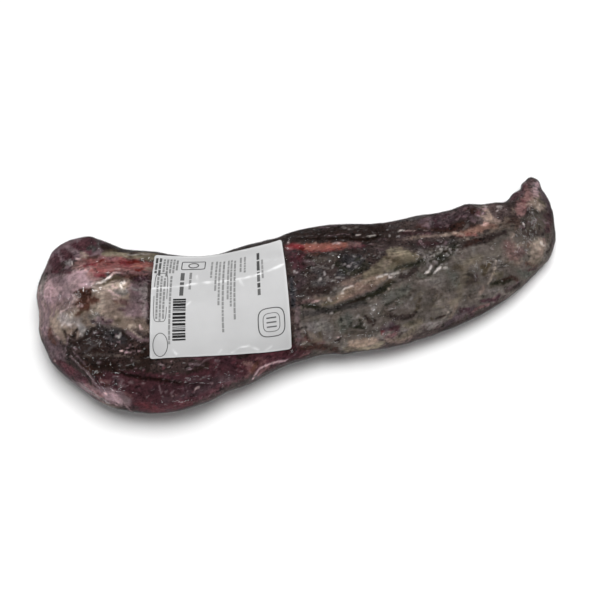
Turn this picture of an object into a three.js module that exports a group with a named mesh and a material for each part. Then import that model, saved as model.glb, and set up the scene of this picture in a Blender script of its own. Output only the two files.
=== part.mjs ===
// A whole beef tenderloin, vacuum-packed: the muscle, thick at its head and thin at its tail, lies on its
// flat side in a clear bag shrunk tight round it, with a plain price label stuck across its waist.
//
// Millimetres, +Z up. X runs from the head end to the tail end, Y from the front edge to the back edge,
// and the pack rests on its flat underside at Z = 0. Places on the skin are given as an X and an angle
// round the section there: 0 degrees at the crown, 90 at the back edge, -90 at the front edge.

import * as THREE from "three";

// Driving dimensions.
const HEAD_END = -225; // X of the round head end
const TAIL_END = 225; // X of the blunt tail end
const HEAD_ROUND = { width: 71, height: 58 }; // how far from the end the width and the height start to fall
const TAIL_ROUND = { width: 4, height: 30 };
const WIDEST = 0.42; // height of the widest line, as a share of the height there
const BELOW_TABLE = 1.16; // the lower half is drawn this much too deep and cut off level with the table
const SIDE_POWER = 0.88; // powers under 1 make a section fuller than an ellipse
const TOP_POWER = 0.9;
const SKIN_PER_DEGREE = 0.85; // length of skin to a degree of the section, near enough
const RINGS = 84; // sections along the pack
const POINTS_ABOVE = 34; // points of a section above its widest line
const POINTS_BELOW = 14;

// The outline seen from above, and the height of the crown, where they change.
const OUTLINE = [
  { x: -225, back: 97, front: -55, height: 52 },
  { x: -188, back: 92, front: -69, height: 56 },
  { x: -150, back: 72, front: -78, height: 58 },
  { x: -112, back: 55, front: -82, height: 56 },
  { x: -75, back: 43, front: -77, height: 52 },
  { x: -38, back: 45, front: -68, height: 49 },
  { x: 0, back: 43, front: -67, height: 50 },
  { x: 38, back: 41, front: -74, height: 50 },
  { x: 75, back: 33, front: -75, height: 47 },
  { x: 131, back: 32, front: -67, height: 42 },
  { x: 169, back: 31, front: -54, height: 37 },
  { x: 192, back: 30, front: -41, height: 33 },
  { x: 211, back: 44, front: -28, height: 28 },
  { x: 225, back: 51, front: -6, height: 24 },
];

// Ridges (positive rise) and furrows (negative) in the skin, along lines through places [x, degrees].
const RELIEF = [
  // the thin side muscle along the back, and the furrow between it and the main muscle
  { line: [[9, 68], [56, 62], [122, 52], [178, 48]], rise: 3, spread: 10 },
  { line: [[-19, 42], [42, 31], [84, 26], [150, 15]], rise: -3, spread: 8 },
  // the lobe at the back of the head, and the furrow in front of it
  { line: [[-195, 62], [-159, 62]], rise: 6, spread: 12 },
  { line: [[-206, 38], [-164, 38], [-122, 44]], rise: -4, spread: 7 },
  // the crown of the head, the hollow in front of it, and the furrow and ridge of the lower lobe
  { line: [[-178, 14], [-141, 18]], rise: 4, spread: 17 },
  { line: [[-188, -18], [-141, -28]], rise: -4, spread: 11 },
  { line: [[-169, -47], [-147, -50], [-122, -56], [-94, -68]], rise: -4, spread: 6 },
  { line: [[-141, -66], [-103, -76]], rise: 3, spread: 11 },
  // the bag drawn tight across the bend in the front edge
  { line: [[-70, -70], [-23, -76]], rise: 2, spread: 8 },
  // the strip of fat that stands out along the main muscle, and the furrow under it
  { line: [[-13, -16], [24, -15], [71, 2], [90, 8]], rise: 3, spread: 7 },
  { line: [[-8, -24], [42, -28], [67, -15], [94, -6]], rise: -3, spread: 6 },
];

// The label's front edge, middle line and back edge, each by its head end, middle and tail end.
const LABEL_PLACES = [
  [[-140, -30], [-85, -34], [-29, -57]],
  [[-130, 3], [-76, 2], [-20, -6]],
  [[-117, 56], [-62, 55], [-10, 50]],
];
const LABEL_THICK = 0.5;
const LABEL_GAP = 0.7; // clear of the skin under it
const LABEL_STEPS = { long: 20, wide: 16 };
const NEARBY = 2; // millimetres or degrees between the places that give a normal

const { clamp, degToRad, lerp, smoothstep } = THREE.MathUtils;
const power = (value, exponent) => Math.sign(value) * Math.abs(value) ** exponent;

// A smooth curve through the outline's values.
function alongPack(key, x) {
  const last = OUTLINE.length - 1;
  const slope = (i) => {
    const before = OUTLINE[Math.max(i - 1, 0)];
    const after = OUTLINE[Math.min(i + 1, last)];
    return (after[key] - before[key]) / (after.x - before.x);
  };
  let i = 0;
  while (i < last - 1 && x > OUTLINE[i + 1].x) i++;
  const [from, to] = [OUTLINE[i], OUTLINE[i + 1]];
  const span = to.x - from.x;
  const t = (x - from.x) / span;
  const rest = 1 - t;
  return (
    from[key] * rest * rest * (1 + 2 * t) +
    to[key] * t * t * (1 + 2 * rest) +
    slope(i) * span * rest * rest * t -
    slope(i + 1) * span * t * t * rest
  );
}

// The share of the full width or height that is left at x, where the ends round off.
function endRound(key, x) {
  const quarter = (distance, length) => Math.sqrt(1 - clamp(1 - distance / length, 0, 1) ** 2);
  return quarter(x - HEAD_END, HEAD_ROUND[key]) * quarter(TAIL_END - x, TAIL_ROUND[key]);
}

// Distance over the skin from a place to a line of places.
function distanceToLine(x, degrees, line) {
  let least = Infinity;
  for (let i = 0; i + 1 < line.length; i++) {
    const start = new THREE.Vector2(line[i][0], line[i][1] * SKIN_PER_DEGREE);
    const way = new THREE.Vector2(line[i + 1][0], line[i + 1][1] * SKIN_PER_DEGREE).sub(start);
    const here = new THREE.Vector2(x, degrees * SKIN_PER_DEGREE).sub(start);
    const t = clamp(here.dot(way) / way.lengthSq(), 0, 1);
    least = Math.min(least, here.sub(way.multiplyScalar(t)).length());
  }
  return least;
}

function relief(x, degrees) {
  return RELIEF.reduce((sum, { line, rise, spread }) => {
    return sum + rise * Math.exp(-((distanceToLine(x, degrees, line) / spread) ** 2));
  }, 0);
}

// The point of the skin at a place.
function skin(x, degrees) {
  const [back, front, height] = ["back", "front", "height"].map((key) => alongPack(key, x));
  const [acrossShare, upShare] = [Math.sin(degToRad(degrees)), Math.cos(degToRad(degrees))];
  const widest = height * WIDEST;
  const reach = upShare > 0 ? height - widest : widest * BELOW_TABLE;
  const flat = new THREE.Vector2(
    ((back - front) / 2) * endRound("width", x) * power(acrossShare, SIDE_POWER),
    reach * endRound("height", x) * power(upShare, TOP_POWER),
  );
  const proud = relief(x, degrees) * smoothstep(upShare, -0.5, 0) * endRound("height", x);
  flat.setLength(flat.length() + proud);
  return new THREE.Vector3(x, (back + front) / 2 + flat.x, Math.max(0, widest + flat.y));
}

// X of ring i, with the rings closer together towards the ends.
function ringX(i) {
  const even = i / (RINGS + 1);
  const bunched = (1 - Math.cos(Math.PI * even)) / 2;
  return lerp(HEAD_END, TAIL_END, lerp(even, bunched, 0.8));
}

function packGeometry() {
  const turns = [];
  for (let i = 0; i < POINTS_ABOVE; i++) turns.push(-90 + (180 * i) / POINTS_ABOVE);
  for (let i = 0; i < POINTS_BELOW; i++) turns.push(90 + (180 * i) / POINTS_BELOW);
  const rings = [];
  for (let i = 1; i <= RINGS; i++) rings.push(turns.map((degrees) => skin(ringX(i), degrees)));
  const points = [skin(HEAD_END, 90), ...rings.flat(), skin(TAIL_END, 90)];
  const at = (ring, side) => 1 + ring * turns.length + (side % turns.length);
  const index = [];
  for (let side = 0; side < turns.length; side++) {
    index.push(0, at(0, side), at(0, side + 1));
    index.push(points.length - 1, at(RINGS - 1, side + 1), at(RINGS - 1, side));
    for (let ring = 0; ring + 1 < RINGS; ring++) {
      index.push(at(ring, side), at(ring + 1, side), at(ring + 1, side + 1));
      index.push(at(ring, side), at(ring + 1, side + 1), at(ring, side + 1));
    }
  }
  return new THREE.BufferGeometry().setFromPoints(points).setIndex(index);
}

// A point over the skin at a place, lifted along the skin's normal.
function overSkin(x, degrees, lift) {
  const alongX = skin(x + NEARBY, degrees).sub(skin(x - NEARBY, degrees));
  const around = skin(x, degrees + NEARBY).sub(skin(x, degrees - NEARBY));
  return skin(x, degrees).addScaledVector(around.cross(alongX).normalize(), -lift);
}

// A smooth curve through three values, at share 0, one half and 1.
function throughThree([start, middle, end], share) {
  return start * (1 - share) * (1 - 2 * share) + 4 * middle * share * (1 - share) - end * share * (1 - 2 * share);
}

// The place on the skin of a point of the label, by its shares of the way to the tail and to the back.
function labelPlace(towardsTail, towardsBack) {
  return [0, 1].map((part) => {
    const lines = LABEL_PLACES.map((line) => throughThree(line.map((place) => place[part]), towardsTail));
    return throughThree(lines, towardsBack);
  });
}

// The label is a thin plate that follows the skin: a grid of points on each face, joined along the edges.
function labelGeometry() {
  const { long, wide } = LABEL_STEPS;
  const points = [];
  for (const lift of [LABEL_GAP, LABEL_GAP + LABEL_THICK]) {
    for (let i = 0; i <= long; i++) {
      for (let j = 0; j <= wide; j++) points.push(overSkin(...labelPlace(i / long, j / wide), lift));
    }
  }
  const at = (face, i, j) => (face * (long + 1) + i) * (wide + 1) + j;
  const index = [];
  const quad = (a, b, c, d) => index.push(a, b, c, a, c, d);
  for (let i = 0; i < long; i++) {
    for (let j = 0; j < wide; j++) {
      quad(at(1, i, j), at(1, i + 1, j), at(1, i + 1, j + 1), at(1, i, j + 1));
      quad(at(0, i, j), at(0, i, j + 1), at(0, i + 1, j + 1), at(0, i + 1, j));
    }
    quad(at(0, i, 0), at(0, i + 1, 0), at(1, i + 1, 0), at(1, i, 0));
    quad(at(0, i + 1, wide), at(0, i, wide), at(1, i, wide), at(1, i + 1, wide));
  }
  for (let j = 0; j < wide; j++) {
    quad(at(0, 0, j + 1), at(0, 0, j), at(1, 0, j), at(1, 0, j + 1));
    quad(at(0, long, j), at(0, long, j + 1), at(1, long, j + 1), at(1, long, j));
  }
  return new THREE.BufferGeometry().setFromPoints(points).setIndex(index);
}

function part(name, geometry, color, roughness) {
  geometry.computeVertexNormals();
  const mesh = new THREE.Mesh(geometry, new THREE.MeshStandardMaterial({ color, roughness, metalness: 0 }));
  mesh.name = name;
  return mesh;
}

const tenderloin = new THREE.Group();
tenderloin.add(part("packed_tenderloin", packGeometry(), 0x4a2c2e, 0.25));
tenderloin.add(part("label", labelGeometry(), 0xd8dada, 0.35));

// The origin is under the middle of the whole.
const middle = new THREE.Box3().setFromObject(tenderloin).getCenter(new THREE.Vector3());
tenderloin.position.set(-middle.x, -middle.y, 0);

export default tenderloin;
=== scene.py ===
import math
import random

import bmesh
import bpy
import numpy as np
from mathutils import Matrix, Vector, noise
from mathutils.bvhtree import BVHTree


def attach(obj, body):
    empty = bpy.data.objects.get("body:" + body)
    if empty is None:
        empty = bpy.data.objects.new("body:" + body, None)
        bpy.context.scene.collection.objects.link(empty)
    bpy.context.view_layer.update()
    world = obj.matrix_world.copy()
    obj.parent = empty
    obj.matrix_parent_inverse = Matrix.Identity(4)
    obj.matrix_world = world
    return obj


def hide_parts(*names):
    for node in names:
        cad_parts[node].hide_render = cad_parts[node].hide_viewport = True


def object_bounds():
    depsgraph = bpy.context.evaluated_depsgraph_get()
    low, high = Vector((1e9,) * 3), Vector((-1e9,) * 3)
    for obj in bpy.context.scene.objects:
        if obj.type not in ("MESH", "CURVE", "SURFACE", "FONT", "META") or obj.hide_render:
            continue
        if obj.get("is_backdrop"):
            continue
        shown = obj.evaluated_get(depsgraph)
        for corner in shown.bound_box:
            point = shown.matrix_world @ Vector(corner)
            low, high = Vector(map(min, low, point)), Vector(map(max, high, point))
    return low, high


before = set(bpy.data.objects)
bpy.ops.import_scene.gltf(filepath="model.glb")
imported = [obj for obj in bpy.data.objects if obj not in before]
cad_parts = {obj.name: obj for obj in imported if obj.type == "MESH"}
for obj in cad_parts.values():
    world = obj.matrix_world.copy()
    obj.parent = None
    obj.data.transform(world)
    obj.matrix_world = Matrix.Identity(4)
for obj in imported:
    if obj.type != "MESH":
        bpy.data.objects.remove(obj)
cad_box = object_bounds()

MM = 0.001


# The camera. The photographer stood at the pack's front edge, a little towards its head, and looked steeply
# down through a long lens, so that the pack fills the width of the picture.
AZIMUTH = math.radians(-15.5)
ELEVATION = math.radians(66)
DISTANCE = 0.971
TARGET = Vector((-0.0094, -0.0155, 0.023))
LENS, SENSOR, PIXELS = 70, 36, 600
PIXELS_PER_UNIT_SLOPE = LENS / SENSOR * PIXELS
PIXEL_SIZE = DISTANCE / PIXELS_PER_UNIT_SLOPE # on the pack, in metres

to_camera = Vector((
    math.sin(AZIMUTH) * math.cos(ELEVATION),
    -math.cos(AZIMUTH) * math.cos(ELEVATION),
    math.sin(ELEVATION),
))
view_right = Vector((math.cos(AZIMUTH), math.sin(AZIMUTH), 0))
view_up = to_camera.cross(view_right)
eye = TARGET + to_camera * DISTANCE

camera = bpy.data.objects.new("camera", bpy.data.cameras.new("camera"))
camera.data.lens = LENS
camera.data.sensor_width = SENSOR
camera.location = eye
camera.rotation_euler = to_camera.to_track_quat("Z", "Y").to_euler()
bpy.context.scene.collection.objects.link(camera)
bpy.context.scene.camera = camera


def sight(across, down):
    """The direction from the eye through a pixel of the photograph."""
    right = view_right * (across - PIXELS / 2) / PIXELS_PER_UNIT_SLOPE
    up = view_up * (PIXELS / 2 - down) / PIXELS_PER_UNIT_SLOPE
    return (right + up - to_camera).normalized()


def seen_at(points):
    """Where points show in the photograph: pixels across, pixels down and, in pixels too, how far away."""
    offset = points - np.array(eye)
    depth = -(offset @ np.array(to_camera))
    across = PIXELS / 2 + PIXELS_PER_UNIT_SLOPE * (offset @ np.array(view_right)) / depth
    down = PIXELS / 2 - PIXELS_PER_UNIT_SLOPE * (offset @ np.array(view_up)) / depth
    return np.stack([across, down, depth / PIXEL_SIZE])


# The meat: one whole tenderloin with its side muscle, silver skin, fat and blood, all squeezed by the bag.
# Its form is that of the solid, drawn in by the bag's gap and with finer relief. Its colours are laid on in
# strokes, from the broad grounds to the single flecks, each at the place where the photograph shows it.
# Many small pale strokes are painted glints of the film, and a few dark lines painted shade in creases.
MEAT_STEPS = 4 # cuts across each triangle of the solid, for points about a millimetre apart
FLAT_BELOW = 0.3 * MM # what lies flat on the table keeps its broad triangles
SMOOTHINGS = 12 # times that the solid's facets are smoothed
DRAWN_IN = 0.4 * MM # to leave room for the film
OVER_TABLE = 0.4 * MM # no point of the meat is lower
RELIEF = ((0.45, 14, 1), (0.3, 6, 2), (0.16, 3, 3)) # waves: height and size in millimetres, and seed
FLECKS = ((0.2, 2.4, 41), (0.16, 5, 43), (0.14, 11, 47)) # waves in the brightness
HUES = ((0.05, 8, 51), (0.03, 6, 53), (0.05, 9, 57)) # waves in the red, the green and the blue
FRAY = ((1, 1.9, 31), (0.6, 3.7, 37)) # waves along the edges of strokes
SWAYS = ((4.5, 0.7), (2.2, 0.4)) # waves that all the strokes follow: size, and how many pixels they reach
SWAY_SEEDS = (5, 22) # for across and for down
ZONE_WAVES = (7, 61) # waves along the edges of zones: size and seed
PATCH_EDGE = (0.02, 0.3) # the height of a wave where a patch of the back starts, and where it covers fully
RAGGED = 0.5 # how far a stroke's or a zone's edge frays, as a share of its softness
SOFTER = 1.35 # how much softer every stroke ends than its softness says
DEPTH_SHARE = 0.3 # how much a pixel of depth counts in the distance to a stroke
SPECKLE_SOFT = 0.8
RIM_HEIGHT = 20 * MM # where a sight passes the meat by, the rim is sought from this height over the table
# What a stroke can leave: its red, green and blue, how many millimetres it stands proud of the meat round
# it (or sinks, under nought), and how wet it is, from 0 to 1, which sets the painted glints and dark pits
# that the meat's shader adds. White and pink white stand mostly for painted glints of the film, pale grey
# partly for pale skin and partly for painted glints.
FINISHES = {
    "black": (36, 29, 29, -0.5, 1), "charcoal": (50, 42, 42, -0.3, 1), "soft black": (60, 52, 52, 0, 0.8),
    "blue black": (54, 54, 58, 0, 1), "green black": (48, 48, 43, -0.6, 1), "slate": (70, 67, 68, 0, 0.9),
    "dark brown": (62, 45, 43, -0.2, 0.7), "blood brown": (84, 58, 52, 0, 0.4),
    "dark maroon": (62, 45, 51, -0.15, 0.7), "maroon": (74, 50, 56, 0, 0.6), "wine": (88, 54, 61, 0, 0.4),
    "crimson": (106, 44, 50, 0, 0.4), "deep red": (84, 32, 30, 0, 0.4), "red": (124, 68, 68, 0, 0.4),
    "faded red": (120, 77, 76, 0, 0.4), "bright red": (140, 62, 67, 0, 0.4),
    "salmon": (150, 98, 89, 0.2, 0.2), "faded salmon": (138, 106, 96, 0, 0.4),
    "rose": (136, 106, 104, 0, 0.4), "dusty rose": (116, 84, 86, 0, 0.4),
    "pink white": (200, 172, 170, 0.3, 0.4), "membrane": (158, 134, 138, 0, 0.15),
    "mauve": (118, 99, 104, 0, 0.25), "dark mauve": (106, 89, 94, 0, 0.4), "purple": (80, 68, 73, 0, 0.4),
    "tan": (136, 121, 112, 0.15, 0.1), "dark tan": (112, 98, 90, 0, 0.4), "fat": (140, 122, 110, 0.5, 0.4),
    "cream": (172, 157, 145, 0.3, 0.4), "olive tan": (112, 103, 90, 0, 0.1), "olive": (92, 85, 73, 0, 0.4),
    "dark olive": (68, 60, 50, -0.2, 0.4), "silver": (98, 91, 87, 0, 0.25),
    "dark silver": (80, 73, 69, 0, 0.4), "green grey": (92, 93, 88, 0, 0.4),
    "grey": (118, 112, 110, 0, 0.4), "pale grey": (150, 143, 142, 0.3, 0.4),
    "white": (222, 212, 208, 0.4, 0.4),
}
# The strokes of each region, in the order in which they are laid on: the finish, how softly its strokes end,
# how well they cover, and then each stroke as the pixels that it runs through, with its half width at each.
GROUNDS = [
    ("tan", 8, 1, [(55, 312, 30), (95, 308, 30), (125, 305, 26), (150, 300, 26)]),
    ("maroon", 6, 1, [(110, 385, 18), (150, 388, 26), (200, 378, 22), (245, 362, 14), (300, 350, 8)]),
    ("soft black", 6, 1, [(180, 300, 50), (240, 295, 50), (292, 300, 20)]),
    ("silver", 8, 1, [(320, 325, 30), (380, 305, 34), (440, 285, 38), (500, 262, 36), (535, 245, 26)]),
    ("soft black", 3, 1, [(250, 246, 8), (290, 236, 8), (330, 230, 9), (370, 230, 9), (400, 228, 11),
     (440, 220, 14), (480, 214, 13), (508, 208, 9)]),
]
HEAD = [
    ("membrane", 5, 1, [(50, 292, 13), (66, 286, 14), (84, 278, 11), (94, 276, 6)]),
    ("mauve", 6, 0.5, [(48, 305, 8), (62, 302, 8), (70, 304, 6)]),
    ("grey", 2, 0.7, [(44, 276, 2.5), (41, 288, 2.5), (40, 300, 2)]),
    ("mauve", 3, 0.8, [(52, 275, 5), (58, 279, 5), (61, 282, 4)]),
    ("dark mauve", 3, 1, [(47, 268, 5), (52, 258, 8), (60, 251, 11), (72, 249, 12), (86, 247, 11),
     (98, 247, 9), (108, 248, 6)]),
    ("maroon", 3, 0.8, [(56, 257, 3.5), (54, 262, 5), (57, 266, 5)]),
    ("maroon", 3, 0.85, [(64, 252, 4), (67, 255, 5), (71, 257, 2.5)]),
    ("maroon", 3, 0.9, [(74, 245, 4), (82, 246, 6), (90, 242, 6), (95, 243, 5), (88, 252, 4)]),
    ("slate", 1, 0.9, [(88, 249, 1.6), (91, 247, 1.6), (95, 248, 1.6), (93, 251, 1.4)]),
    ("slate", 2, 0.7, [(99, 242, 3), (100, 247, 3)]),
    ("mauve", 1.2, 0.8, [(100, 249, 1.3), (103, 247, 1.5)]),
    ("mauve", 2, 0.85, [(62, 243, 3), (68, 247, 2.5), (74, 251, 2.5), (79, 254, 2.5)]),
    ("tan", 2, 0.9, [(81, 253, 2), (87, 256, 2.2), (81, 257, 1.5)]),
    ("black", 2, 0.9, [(105, 246, 4), (112, 247, 4), (117, 248, 3), (121, 250, 1.5)]),
    ("dark olive", 2, 0.7, [(104, 252, 2), (112, 250, 2), (118, 249, 2)]),
    ("pale grey", 1.5, 0.9, [(66, 262, 2), (69, 264, 2.5), (70, 260, 1.5)]),
    ("mauve", 1.5, 0.9, [(67, 267, 2), (63, 269, 1.5)]),
    ("dark maroon", 1.2, 1, [(63, 270.5, 1.5), (68, 270, 2), (72, 266, 1.2)]),
    ("maroon", 1.5, 0.9, [(51, 271, 1.5), (60, 272, 1.5), (70, 272, 1.5)]),
    # Painted glints of the film: the white and pink white dabs below.
    ("white", 0.8, 0.9, [(72.3, 261, 0.7), (72.3, 264, 0.7)]),
    ("pink white", 0.8, 1, [(76, 258.7, 0.9), (80, 258.7, 0.9)]),
    ("pink white", 0.8, 0.8, [(79.5, 266, 0.6), (79.7, 269, 0.7)]),
]
HEAD_STRIPS = [
    ("olive tan", 2, 1, [(104, 254, 2), (115, 254, 3), (130, 255, 3.5), (145, 256, 4), (156, 258, 4)]),
    ("charcoal", 1, 0.9, [(119, 250.5, 1), (128, 250.8, 0.9), (144, 250.8, 1), (152, 252, 1),
     (162, 253, 1)]),
    ("dark brown", 1, 0.9, [(131, 253, 1), (136, 252.6, 1)]),
    ("dark brown", 1, 0.8, [(129, 256.4, 0.7), (131, 256.4, 0.7)]),
    ("pale grey", 1, 0.7, [(128, 254.3, 0.5), (136, 254.4, 0.6), (150, 255, 0.5)]),
    ("faded red", 3, 1, [(80, 264, 4), (90, 263, 5), (104, 265, 8), (118, 264, 8), (130, 265, 6),
     (145, 266, 5.5), (154, 267, 4)]),
    ("rose", 3, 0.8, [(75, 266, 3.5), (82, 264, 5), (90, 268, 3)]),
    ("crimson", 1.5, 0.9, [(84, 265, 1.3), (90, 263.5, 1.3), (95, 264, 1.4)]),
    ("dark brown", 1.5, 0.8, [(88, 257.5, 1.3), (94, 256.5, 1.2), (98, 255, 1)]),
    ("deep red", 1.2, 0.8, [(100, 261, 1.2), (103, 259.8, 1.3)]),
    ("deep red", 1.5, 0.5, [(107, 263.5, 1.2), (111, 262.5, 1)]),
    ("dusty rose", 1.5, 0.9, [(96, 261, 1.2), (99, 257.5, 1.3), (106, 257.5, 1.5), (112, 259, 1.5),
     (118, 258.5, 1.3)]),
    ("crimson", 2.5, 0.8, [(122, 262, 2.5), (128, 264, 3), (133, 262, 2)]),
    ("deep red", 2, 0.8, [(128, 262.5, 1.5), (134, 261.5, 1.3), (142, 261.5, 1)]),
    ("deep red", 1.3, 1, [(136, 269.3, 1.4), (139, 269.5, 1.9), (142, 268.3, 1.2)]),
    ("salmon", 1.5, 1, [(133, 266.3, 1.1), (136.5, 264.6, 1.4), (141, 265.3, 1.2)]),
    ("salmon", 1.5, 0.5, [(145, 264, 1.5), (149, 264.5, 1.2)]),
    ("dark tan", 2, 0.8, [(147, 268, 2), (151, 269, 2.5)]),
    ("rose", 1.5, 0.7, [(108, 269.5, 1), (117, 268.4, 1.3), (126, 269.5, 1), (132, 271, 1)]),
    ("pink white", 1.2, 0.6, [(115, 268.4, 0.8), (119, 268.4, 0.8)]),
    ("red", 3, 0.6, [(93, 272, 4), (100, 272, 3)]),
    ("crimson", 1.8, 0.7, [(96, 276, 1.5), (104, 275.5, 1.8)]),
    ("rose", 2.5, 0.8, [(89, 275, 2.5), (94, 279, 2.2), (99, 279, 1.5)]),
    # Painted glints of the film along the glossy bend of the head: the white and pink white strokes.
    ("white", 1, 1, [(96, 283.6, 0.6), (101, 282.4, 0.9), (104.3, 280.6, 1.4), (106, 279.3, 0.9),
     (109.7, 276.5, 1.5)]),
    ("pink white", 1.2, 0.8, [(111.5, 274, 0.9), (114, 272.5, 0.8), (121, 272.4, 0.8)]),
    ("dark olive", 2, 0.9, [(99, 287, 1.2), (105, 284, 1.8), (110, 280, 2), (115, 277, 1.8),
     (122, 277.5, 1.5), (127, 276, 1.5)]),
    ("dark brown", 2.5, 1, [(121, 276, 1.5), (128, 276, 3), (138, 276, 4), (146, 278, 4)]),
    ("dark maroon", 2, 1, [(134, 279, 2), (141, 279, 3), (146, 278, 2.5), (149, 283, 2.5)]),
    ("dusty rose", 2, 0.7, [(122, 273, 1.3), (132, 272.5, 1.5), (143, 273, 1.5), (150, 274, 1.5)]),
]
MAUVE_BY_LABEL = [
    ("cream", 3, 0.8, [(104, 288, 3), (113, 286, 4.5), (121, 288, 5), (126, 290, 3)]),
    ("grey", 2, 0.8, [(117, 291, 3), (124, 293, 3)]),
    # Painted glints of the film: the white, pink white and small pale grey dabs of this region.
    ("white", 1, 1, [(121, 282.7, 0.8), (124.3, 282, 1.4)], [(120.5, 284.8, 0.6), (121.7, 286.5, 1.2),
     (122.3, 288.6, 0.8)]),
    ("pink white", 1.2, 0.8, [(113.2, 286, 1.6)], [(106, 289.7, 0.8), (110, 290, 1.1), (112.5, 293.4, 0.9),
     (116, 295, 1.1), (120, 296, 1)]),
    ("pink white", 1, 0.8, [(115.6, 288.6, 0.9), (118, 288.6, 0.9)]),
    ("pale grey", 1, 0.9, [(126, 290, 1), (128.6, 293.4, 1.1)]),
    ("mauve", 4, 0.9, [(134, 288, 6), (140, 294, 9), (136, 303, 9), (130, 310, 7), (142, 312, 7)]),
    ("slate", 3, 0.25, [(143, 287, 3), (146, 295, 3), (134, 299, 4)]),
    ("pale grey", 6, 0.6, [(146, 282, 3), (146, 292, 5), (146, 304, 5), (146, 316, 3)]),
    ("pale grey", 1, 0.9, [(131, 286.5, 0.7), (134, 289, 0.8), (139, 289.5, 0.8), (145, 288.5, 0.6)]),
    ("maroon", 2, 0.6, [(121, 301, 2.5), (126, 303, 2.5)]),
    ("charcoal", 1.2, 0.9, [(137, 303.3, 0.8), (144, 303.3, 0.8)]),
    # Painted shadow: the charcoal line along the label's left edge.
    ("charcoal", 1.5, 0.9, [(149, 285, 1), (148.6, 297, 1.2), (148.4, 310, 1.3), (148.6, 325, 1),
     (149, 345, 1.5), (149, 357, 1.5)]),
    ("maroon", 1.2, 0.7, [(118, 310.5, 0.8), (126, 309.5, 0.8)]),
    ("blood brown", 1.5, 0.9, [(113, 300.5, 1.2), (117, 302, 1.5)]),
    ("pink white", 1.2, 0.6, [(114, 298, 0.8), (118, 300, 1)]),
    ("mauve", 1.2, 0.9, [(119, 308.5, 0.8), (123, 308.2, 0.9)]),
    ("mauve", 1.5, 0.5, [(134, 312, 1.5), (133, 320, 1.5)]),
    ("mauve", 1.2, 0.8, [(142.5, 282, 1), (143, 285, 0.8)], [(147, 309, 1.5), (147, 302, 1)]),
]
TAN_SKIN = [
    ("tan", 5, 0.9, [(98, 292, 6), (104, 303, 8), (100, 313, 8), (92, 314, 5)]),
    ("cream", 4, 0.5, [(100, 288, 2.5), (103, 296, 3), (99, 306, 4)]),
    ("dark tan", 4, 0.7, [(113, 305, 5), (112, 316, 5), (108, 297, 3)]),
    ("blood brown", 2, 1, [(78, 294, 4.6), (88, 292, 4.8), (84, 297, 6), (80, 302, 4.6), (86, 305, 4)]),
    ("dark brown", 2, 0.7, [(82, 295, 2.5), (88, 291, 1.5), (84, 299, 2)]),
    ("blood brown", 2.5, 0.9, [(89, 300, 3.5), (94, 300, 4), (97, 300, 2)]),
    ("blood brown", 2, 0.8, [(80, 309, 2.5), (86, 309, 2.5), (76, 303, 2)]),
    # Painted glints of the film: the white and pink white dabs of this region.
    ("pink white", 1, 0.9, [(77.5, 305.4, 0.8), (82, 305.5, 0.9)]),
    ("pink white", 2, 0.6, [(72, 302, 1.3), (77, 299.3, 1.2), (73, 295, 1.5)]),
    ("pink white", 1, 0.3, [(88, 296, 0.8), (88, 301, 0.6)]),
    ("cream", 1.2, 1, [(70.6, 318.4, 1.2), (71.3, 315.6, 1.5), (74.5, 313, 1), (78.5, 311, 1.1)]),
    ("white", 1, 0.8, [(71, 317, 1.1)]),
    ("blood brown", 1.8, 0.8, [(76, 314.5, 1.5), (79, 312.5, 2), (77, 319, 1.5)]),
    ("dark olive", 2, 0.7, [(81, 312, 2), (84, 311, 1.5)]),
    ("pink white", 1.2, 0.8, [(60.5, 312.3, 0.7), (64, 309.5, 0.9), (68.5, 305.3, 0.8)]),
    ("dark mauve", 1.5, 0.9, [(44, 303, 1.3), (44.5, 309, 2), (46.5, 313, 1.8)]),
    ("mauve", 2, 0.8, [(43, 315, 3), (44, 325, 3.5), (45, 334, 3)]),
    ("mauve", 1.5, 0.7, [(54, 302, 1.2), (52.5, 308, 1.5), (50, 315, 1.5)]),
    ("pale grey", 4, 0.7, [(62, 318, 5), (70, 322, 5), (78, 321, 4)]),
    ("white", 2, 0.6, [(69, 324, 1.6), (73, 323, 1.3)]),
    ("white", 1, 0.5, [(60, 327, 0.9), (64.5, 323, 0.7)]),
    ("charcoal", 1.8, 0.9, [(77, 329, 1.2), (74.5, 333, 1.8), (73, 338, 1.5), (69, 335, 1.2)]),
    ("pale grey", 2.5, 1, [(80, 326, 3), (84, 331, 4.5), (85, 336, 3)]),
    ("white", 1.5, 0.9, [(81, 334.6, 1.1), (84, 336, 1.2), (87, 333.5, 0.9)]),
    ("grey", 3, 0.7, [(90, 317, 2.5), (97, 315, 3)]),
    ("pink white", 1, 0.8, [(96.8, 317.7, 1.1)]),
    ("dark tan", 4, 0.8, [(118, 320, 5), (126, 323, 4), (140, 322, 5), (146, 330, 4)]),
    ("cream", 1.8, 0.6, [(115.5, 316.6, 1.8)]),
    ("dark olive", 2, 0.5, [(114, 320.5, 1.5), (119, 320.5, 1.2)]),
]
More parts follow.
